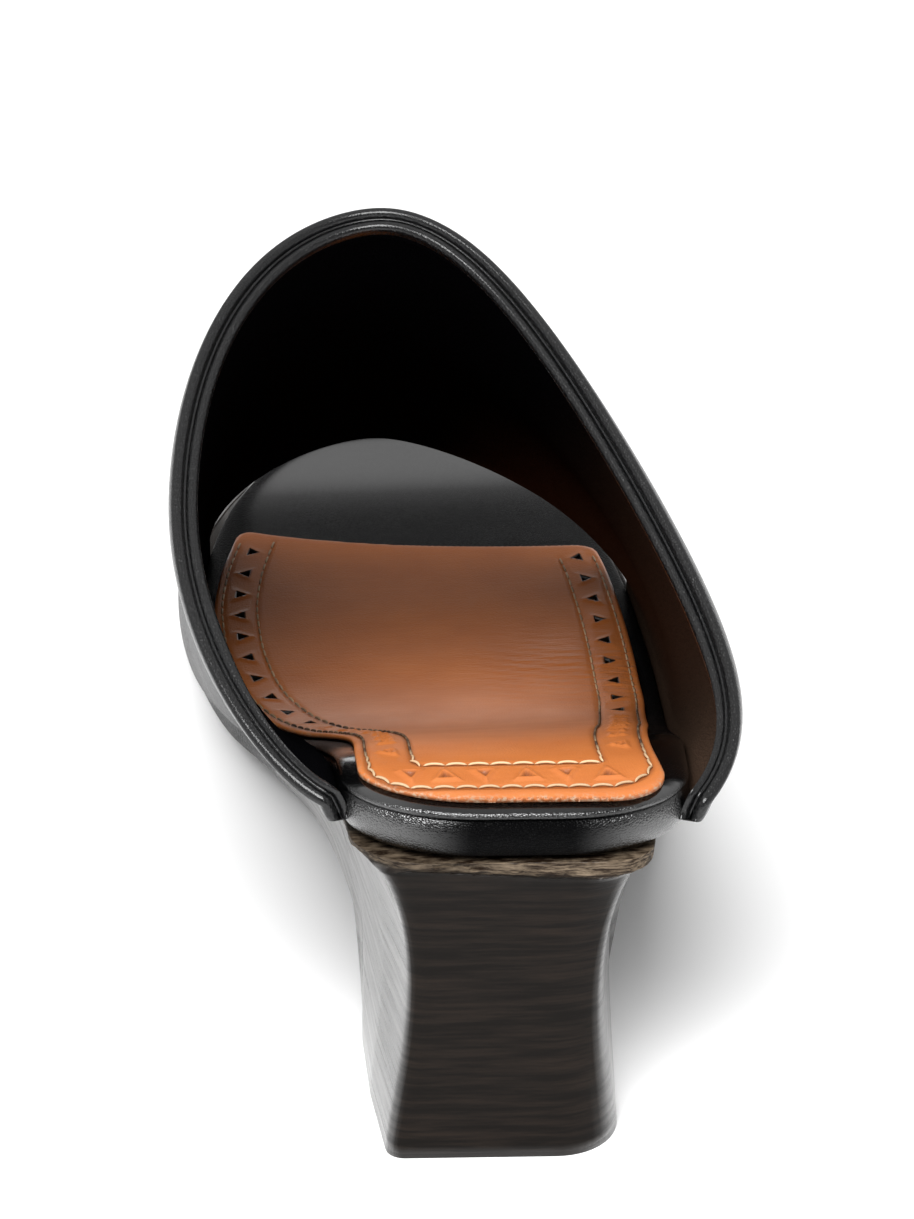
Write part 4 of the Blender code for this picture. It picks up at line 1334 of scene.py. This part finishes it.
@dataclass(frozen=True)
class Hood:
    """Black leather hood: one shell with a lined inside and a topline finished in three rolls."""

    board: Board
    table: Table = Table(
        ("share", "medial_along", "lateral_along", "crown_x", "crown_along", "crown_height", "hem", "spring",
         "tuck", "belly_medial", "fill_medial", "belly_lateral", "flare_lateral", "round_medial",
         "round_lateral"),
        ((0.00, 11.0, 9.0, -8.2, 100.0, 121.0, 2.8, 6.0, 1.3, 20.8, 0.78, 0.2, 7.4, 2.62, 1.66),
         (0.28, 72.0, 66.0, -8.0, 127.0, 93.6, 0.6, 6.0, 0.8, 19.4, 0.60, 0.4, 2.0, 2.35, 1.66),
         (0.55, 124.0, 116.0, -8.0, 154.0, 72.0, 0.0, 5.9, 0.3, 12.8, 0.50, 2.0, 0.0, 2.3, 1.85),
         (0.80, 168.0, 158.0, -6.5, 181.0, 53.0, 0.0, 5.2, 0.0, 2.8, 0.50, 1.0, 0.0, 2.2, 1.6),
         (1.00, 214.0, 190.0, -4.5, 207.0, 40.8, 0.0, 5.2, 0.0, 0.0, 0.50, 0.0, 0.0, 1.72, 1.45)))
    wall: float = 2.6
    rim_step: float = 0.9
    rim_back: float = 5.3
    rim_slope: float = 1.9
    rim_end: float = 1.6
    rim_rows: int = 10
    # rolls of the rim: distance from the topline, offset outward, radius, first and last angle, points
    outer_roll: Arc = (1.2, -0.05, 0.95, 90.0, 262.0, 18)
    thin_fold: Arc = (0.95, -1.3, 0.26, 105.0, 255.0, 8)
    inner_roll: Arc = (1.05, -2.55, 0.95, 98.0, 270.0, 18)
    grooves: tuple[Span, Span] = ((1.3, -1.06), (1.3, -1.54))
    roll_end: float = 1.0
    toe_edge: float = 1.6
    toe_rows: int = 7
    flare_at: float = 0.21
    side_power: float = 0.5
    hem_turn: float = 0.09
    crown_soft: float = 4.5
    crown_taps: float = 2.6
    crown_bell: float = 1.414
    crown_reach: float = 0.2
    hem_fade: Span = (0.12, 0.26)
    normal_step: float = 2e-3
    net_rows: int = 97
    net_fine: int = 1601
    turns: int = 248
    face_rows: int = 92
    # creases of the vamp: share, turn, half length in turns, depth, half width, slope
    creases: tuple[tuple[float, ...], ...] = (
        (0.66, 0.50, 0.16, 0.42, 2.6, 0.10), (0.74, 0.44, 0.13, 0.36, 2.2, -0.12),
        (0.70, 0.62, 0.10, 0.30, 2.0, 0.18))
    # the ridge behind a crease: its height, distance and width as shares of the crease's own
    crease_ridge: Triple = (0.5, 1.9, 1.2)
    lining_crease: float = 0.5
    # painted bounce light on the lining: grows across to the lateral side and fades with height above the
    # board
    bounce_across: Span = (2.0, 26.0)
    bounce_rise: Span = (8.0, 66.0)
    roll_polish: float = 0.6
    face_polish: float = 0.12

    def arch_side(self, share: Array, q: Array, side: Side) -> tuple[Array, Array]:
        """One side of the arches, from the spring line (q = 0) to the crown (q = 1).

        x runs from the foot's edge to the crown as a rounded quarter, (1 - q^n) to the power 1/n, with a
        belly of (4 q (1 - q)) to a power added outward; y and z run straight.

        Args:
            share: share from topline to toe edge.
            q: height share.
            side: which side.

        Returns:
            Points of the arch and of the base line that the hem stands on.
        """
        name, sign = side.name.lower(), side.value
        foot = self.table.at(name + "_along", share)
        slant = self.board.edge(foot + 0.5, side) - self.board.edge(foot - 0.5, side)
        edge = self.board.edge(foot, side) + sign * (FIT_GAP + self.wall) * np.sqrt(1.0 + slant**2)
        seat = self.board.height(foot) - self.board.thickness(foot)
        base, spring = seat + self.table.at("hem", share), seat + self.table.at("spring", share)
        power = self.table.at("round_" + name, share)
        swell = np.clip(4.0 * q * (1.0 - q), 0.0, 1.0)
        low_power = self.table.at("fill_medial", share) if side is Side.MEDIAL else self.side_power
        belly = np.where(q < 0.5, swell**low_power, swell**self.side_power)
        belly = belly * self.table.at("belly_" + name, share)
        if side is Side.LATERAL:
            flare = q / self.flare_at
            belly = belly + self.table.at("flare_lateral", share) * flare * np.exp(1.0 - flare)
        crown_x = self.table.at("crown_x", share)
        x = crown_x + (edge - crown_x) * (1.0 - q**power) ** (1.0 / power) + sign * belly
        y = foot + (self.table.at("crown_along", share) - foot) * q
        z = spring + (self.table.at("crown_height", share) - spring) * q
        where = self.board.skew(foot, edge)
        hem = edge - sign * self.table.at("tuck", share)
        return (np.stack([x, y + where, z], axis=-1),
                np.stack(np.broadcast_arrays(hem, foot + where, base, q)[:3], axis=-1))

    def arches(self, share: Array, turn: Array) -> Array:
        """Arches over the foot: turn is 0 at the medial base, 0.5 at the crown and 1 at the lateral base."""
        half = np.where(turn < 0.5, turn, 1.0 - turn) * 2.0
        q = np.sin(0.5 * np.pi * np.clip((half - self.hem_turn) / (1.0 - self.hem_turn), 0.0, 1.0))
        low = np.clip(half / self.hem_turn, 0.0, 1.0)[..., None]
        sides = []
        for side in Side:
            arch, base = self.arch_side(share, q, side)
            sides.append(np.where(low < 1.0, base + (arch - base) * low, arch))
        return np.where((turn < 0.5)[..., None], sides[0], sides[1])

    def net(self) -> Array:
        """Even net of the outer face: x, y, z and turn by row (share) and column.

        Every arch is re-spaced evenly by length and then averaged along its length with bell weights near the
        crown, where the two sides meet, so that the crown is one smooth bow.
        """
        shares, turns = np.meshgrid(np.linspace(0.0, 1.0, self.net_rows),
                                    np.linspace(0.0, 1.0, self.net_fine), indexing="ij")
        arches = np.concatenate([self.arches(shares, turns), turns[..., None]], axis=-1)
        even = np.stack([resample(arch, self.turns + 1) for arch in arches])
        gap = np.linalg.norm(np.diff(even[..., :3], axis=1), axis=2).mean()
        reach = int(np.ceil(self.crown_taps * self.crown_soft / gap))
        weights = hump(np.arange(-reach, reach + 1) * gap, self.crown_bell * self.crown_soft)
        padded = np.pad(even, ((0, 0), (reach, reach), (0, 0)), mode="edge")
        soft = sum(weight * padded[:, k:k + even.shape[1]] for k, weight in enumerate(weights))
        return even + (soft / weights.sum() - even) * hump(even[..., 3:] - 0.5, self.crown_reach)

    @staticmethod
    def surface(net: Array, share: Array) -> Array:
        """Outer face at given shares: a Catmull-Rom curve through each column of the net.

        Args:
            net: the even net.
            share: shares from topline to toe edge, a column for each column of the net.

        Returns:
            x, y, z and turn for each share.
        """
        framed = np.concatenate([2.0 * net[:1] - net[1:2], net, 2.0 * net[-1:] - net[-2:-1]])
        at = np.clip(share, 0.0, 1.0) * (len(net) - 1)
        k = np.clip(np.floor(at).astype(int), 0, len(net) - 2)
        s = (at - k)[..., None]
        a, b, c, d = (framed[k + n, np.arange(net.shape[1])] for n in range(4))
        return b + 0.5 * s * (c - a + s * (2.0 * a - 5.0 * b + 4.0 * c - d + s * (3.0 * (b - c) + d - a)))

    @staticmethod
    def arc(back: float, offset: float, radius: float, start: float, stop: float, count: int) -> Array:
        """Back and offset of points on a round roll; 90 degrees faces outward, 180 backward.

        Args:
            back: the centre's distance from the topline.
            offset: the centre's offset along the outward normal.
            radius: the roll's radius.
            start: first angle.
            stop: last angle.
            count: number of points.

        Returns:
            One row for each point.
        """
        angle = np.radians(np.linspace(start, stop, count))
        return np.column_stack([back + radius * np.cos(angle), offset + radius * np.sin(angle)])

    def profile(self) -> tuple[Array, Array, Array, Array]:
        """Section of the shell from the toe edge along the outside, over the three rolls and back inside.

        Returns:
            For each row: a fixed distance from the topline, the share of the free length added to it, the
            offset along the outward normal, and whether it is lining.
        """
        step = np.linspace(self.rim_back, self.rim_end, self.rim_rows)
        rise = self.rim_step * ease((self.rim_back - step) / self.rim_slope)
        outer, inner = np.column_stack([step, rise]), np.column_stack([step, -self.wall - rise])[::-1]
        rolls = np.vstack([outer, self.arc(*self.outer_roll)[1:], self.grooves[:1], self.arc(*self.thin_fold),
                           self.grooves[1:], self.arc(*self.inner_roll)])
        rim = np.vstack([rolls, inner[1:]])
        free = np.linspace(1.0, 0.0, self.face_rows + 1)[:-1]
        level, half = np.full(len(free), self.rim_back), self.wall / 2.0
        toe = self.arc(half, -half, half, 180.0, 90.0, self.toe_rows)
        front = self.rim_back + self.toe_edge - toe[:, 0]
        fixed = np.concatenate([front, level, rim[:, 0], level, front[::-1][:-1]])
        part = np.concatenate([np.ones(len(toe)), free, np.zeros(len(rim)), free[::-1],
                               np.ones(len(toe) - 1)])
        offset = np.concatenate([toe[:, 1], np.zeros(len(free)), rim[:, 1], np.full(len(free), -self.wall),
                                 (-self.wall - toe[:, 1])[::-1][:-1]])
        lining = np.arange(len(fixed)) >= len(toe) + len(free) + len(rolls)
        return fixed, part, offset, lining

    def shell(self) -> tuple[Array, Array, Array]:
        """Points of the shell by row and column, whether each row is lining and whether it is a roll.

        Each profile row is carried over the arch: the outer face at its distance from the topline, moved
        along the face's own normal by its offset.
        """
        net = self.net()
        reach = np.linalg.norm(np.diff(net[..., :3], axis=0), axis=2).sum(axis=0)
        fixed, part, offset, lining = self.profile()
        rolled = (fixed < self.rim_back - self.roll_end) & ~lining
        free = reach - self.rim_back - self.toe_edge
        share = np.clip((fixed[:, None] + part[:, None] * free[None]) / reach[None], 0.0, 1.0)
        face, turn = np.split(self.surface(net, share), [3], axis=2)
        turn = turn[..., 0]
        step = self.normal_step
        lengthwise = self.surface(net, share + step)[..., :3] - self.surface(net, share - step)[..., :3]
        normal = np.cross(lengthwise, np.gradient(face, axis=1))
        normal /= np.linalg.norm(normal, axis=2, keepdims=True)
        normal *= np.sign((normal * (face - face.mean(axis=1, keepdims=True))).sum(axis=2).mean())
        side = np.minimum(turn, 1.0 - turn) * 2.0
        above = ramp(side, *self.hem_fade)
        offset = offset[:, None]
        depth = np.where(offset < -self.wall, -self.wall + (offset + self.wall) * above, offset)
        follow = np.where(offset > -self.wall / 2, 1.0, self.lining_crease)
        depth = depth - self.crease_depth(share, turn, reach) * follow
        points = face + normal * depth[..., None]
        points[:, 0, 2], points[:, -1, 2] = face[:, 0, 2], face[:, -1, 2]
        return points, lining, rolled

    def crease_depth(self, share: Array, turn: Array, reach: Array) -> Array:
        """Soft troughs across the vamp where the toes bend: bell curves about slanting lines."""
        tall, away, wide = self.crease_ridge
        depth = np.zeros(share.shape)
        for at, middle, half, deep, width, slope in self.creases:
            off = (share - at - slope * (turn - middle)) * reach[None]
            trough = hump(off, width) - tall * hump(off - away * width, wide * width)
            depth += deep * hump(turn - middle, half) * trough
        return depth

    def build(self, place: Placement, finish: BlackLeather, lined: BlackLeather) -> bpy.types.Object:
        """Make the piece, with one leather outside and over the rolls and another as lining.

        Args:
            place: where the shoe lies.
            finish: the outer leather.
            lined: the lining leather.

        Returns:
            The piece.
        """
        points, lining, rolled = self.shell()
        rows, cols = points.shape[:2]
        first = np.arange(rows // 2)
        pairs = np.column_stack([first[:-1], first[1:], rows - 1 - first[1:], rows - 1 - first[:-1]]) * cols
        middle = np.array((rows // 2 - 1, rows // 2, rows // 2 + 1)) * cols
        quads = np.concatenate([grid_quads(rows, cols, wrap_rows=True), pairs, pairs + cols - 1])
        mesh = make_mesh("hood", place.world(points.reshape(-1, 3)), quads,
                         [middle.tolist(), (middle + cols - 1).tolist()], weld=False)
        inside = np.zeros(len(mesh.polygons), np.int32)
        inside[:rows * (cols - 1)] = np.repeat(lining & np.roll(lining, -1), cols - 1)
        x, y, z = points.reshape(-1, 3).T
        # painted bounce light: brown on the lining, strongest low on the lateral side
        low = 1.0 - ramp(z - self.board.height(y), *self.bounce_rise)
        set_mask(mesh, "painted_bounce", ramp(x, *self.bounce_across) * low)
        polish = np.where(lining, 0.0, np.where(rolled, self.roll_polish, self.face_polish))
        set_mask(mesh, "polished", np.repeat(polish, cols))
        piece = make_piece("leather_hood", mesh, [finish.material(), lined.material()], "upper")
        mesh.polygons.foreach_set("material_index", inside)
        mesh.update()
        return piece


@dataclass(frozen=True)
class Studio:
    """Pale floor, soft surroundings, a wide light overhead and the camera behind and above the heel."""

    camera_at: Triple = (-54.27, -451.17, 301.84)
    heading: float = 5.738148
    tilt: float = 24.558386
    roll: float = 0.127631
    lens: float = 104.99
    sensor: float = 36.0
    clip: Span = (0.01, 100.0)
    floor_half: float = 6.0
    floor_colour: Colour = (0.93, 0.93, 0.93)
    floor_rough: float = 0.9
    floor_shine: float = 0.1
    # strength of each part of the surroundings, and where it fades in by direction
    ambient: float = 0.06
    behind: float = 0.03
    behind_fade: Span = (-0.55, -0.1)
    sides: float = 0.75
    left_from: Span = (0.45, 0.75)
    right_from: Span = (0.3, 0.55)
    horizon: float = 1.5
    horizon_rise: Span = (0.14, 0.22)
    horizon_front: Span = (0.1, 0.5)
    panel: float = 0.9
    panel_rise: Span = (0.575, 0.625)
    panel_back: Span = (-0.6, -0.1)
    key_at: Triple = (-0.3, -0.92, 1.2)
    key_size: Span = (0.9, 0.7)
    key_power: float = 37.0

    def build(self, place: Placement) -> None:
        """Make floor, surroundings, key light and camera."""
        self.floor()
        self.surroundings()
        self.key()
        self.camera(place)

    def floor(self) -> None:
        """A wide level sheet."""
        h = self.floor_half
        mesh = bpy.data.meshes.new("floor")
        mesh.from_pydata([(-h, -h, 0.0), (h, -h, 0.0), (h, h, 0.0), (-h, h, 0.0)], [], [(0, 1, 2, 3)])
        material = bpy.data.materials.new("pale_floor")
        material.use_nodes = True
        shader = material.node_tree.nodes["Principled BSDF"]
        NodeBuilder(material.node_tree).join(shader, {
            "Base Color": rgba(self.floor_colour), "Roughness": self.floor_rough,
            "Specular IOR Level": self.floor_shine})
        mesh.materials.append(material)
        new_object("floor", mesh)

    def surroundings(self) -> None:
        """Soft world by direction: bright sides, a low and a high panel in front, dim behind the camera."""
        world = bpy.data.worlds.new("soft_room")
        bpy.context.scene.world = world
        world.use_nodes = True
        build = NodeBuilder(world.node_tree)
        direction = build.add("ShaderNodeTexCoord").outputs["Generated"]
        x, y, z = build.add("ShaderNodeSeparateXYZ", {0: direction}).outputs
        left = build.remap(build.times(x, -1.0), *self.left_from, 0.0, self.sides)
        side = build.math("MAXIMUM", left, build.remap(x, *self.right_from, 0.0, self.sides))
        panel = build.times(build.remap(z, *self.panel_rise),
                            build.remap(y, *self.panel_back, 0.0, self.panel))
        low = build.times(build.remap(z, *self.horizon_rise, 1.0, 0.0),
                          build.remap(y, *self.horizon_front, 0.0, self.horizon))
        back = build.remap(y, *self.behind_fade, self.behind, self.ambient)
        level = build.math("MAXIMUM", build.math("MAXIMUM", side, panel), build.math("MAXIMUM", back, low))
        build.join(world.node_tree.nodes["Background"], {"Strength": level, "Color": rgba((1.0, 1.0, 1.0))})
        bpy.context.scene.view_settings.view_transform = "Standard"

    def key(self) -> None:
        """A wide soft light above and behind, turned to the shoe."""
        data = bpy.data.lights.new("key", "AREA")
        data.shape, data.energy = "RECTANGLE", self.key_power
        data.size, data.size_y = self.key_size
        light = new_object("key", data)
        light.location = self.key_at
        light.rotation_euler = (-Vector(self.key_at)).to_track_quat("-Z", "Y").to_euler()

    def camera(self, place: Placement) -> None:
        """Camera at its fitted place: turned right by the heading, down by the tilt, then rolled; degrees."""
        data = bpy.data.cameras.new("camera")
        data.lens, data.sensor_width, data.sensor_fit = self.lens, self.sensor, "AUTO"
        data.clip_start, data.clip_end = self.clip
        heading, tilt, roll = np.radians((self.heading, self.tilt, self.roll))
        level = np.array((np.cos(heading), -np.sin(heading), 0.0))
        ahead = np.array((np.sin(heading) * np.cos(tilt), np.cos(heading) * np.cos(tilt), -np.sin(tilt)))
        over = np.cross(level, ahead)
        axes = np.eye(4)
        axes[:3, 0] = level * np.cos(roll) + over * np.sin(roll)
        axes[:3, 1] = over * np.cos(roll) - level * np.sin(roll)
        axes[:3, 2], axes[:3, 3] = -ahead, place.world(np.array(self.camera_at))
        camera = new_object("camera", data)
        camera.matrix_world = Matrix(axes.tolist())
        bpy.context.scene.camera = camera


def main() -> None:
    """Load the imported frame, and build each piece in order."""
    logging.basicConfig(level=logging.INFO, format="%(name)s %(message)s")
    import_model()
    PebbleGrain().build()
    CloudyColour().build()
    board = Board()
    sock, wood = SockLining(board), WoodenSole(board)
    place = Placement.from_frame(wood.tip, sock.widest)
    LOG.info("shoe frame at %.3f, %.3f mm", place.x, place.y)
    Studio().build(place)
    wood.build(place, StainedWood("stained_wood"))
    wrap = BlackLeather("wrap_leather", colour=(0.0012, 0.0012, 0.0014), cell=0.42, depth=0.00008,
                        specular=0.03, coat_ior=1.9, coat_rough=0.10, coat_grain=0.9, folds=(1.0, 1.0, 0.1),
                        fold_scale=1100.0, fold_depth=0.0001)
    Footbed(board).build(place, wrap)
    sock.build(place, TanLeather("sock_leather"), Thread("waxed_thread"))
    outside = BlackLeather("hood_leather", specular=0.14, coat_rough=0.16, coat_grain=0.16,
                           fold_depth=0.00012)
    # the lining's brown is painted bounce light from the sock
    lining = BlackLeather("lining_leather", colour=(0.002, 0.002, 0.0026), bounce_colour=(0.052, 0.032, 0.022),
                          gloss=(0.5, 0.6), specular=0.0)
    Hood(board).build(place, outside, lining)


if __name__ == "__main__":
    main()
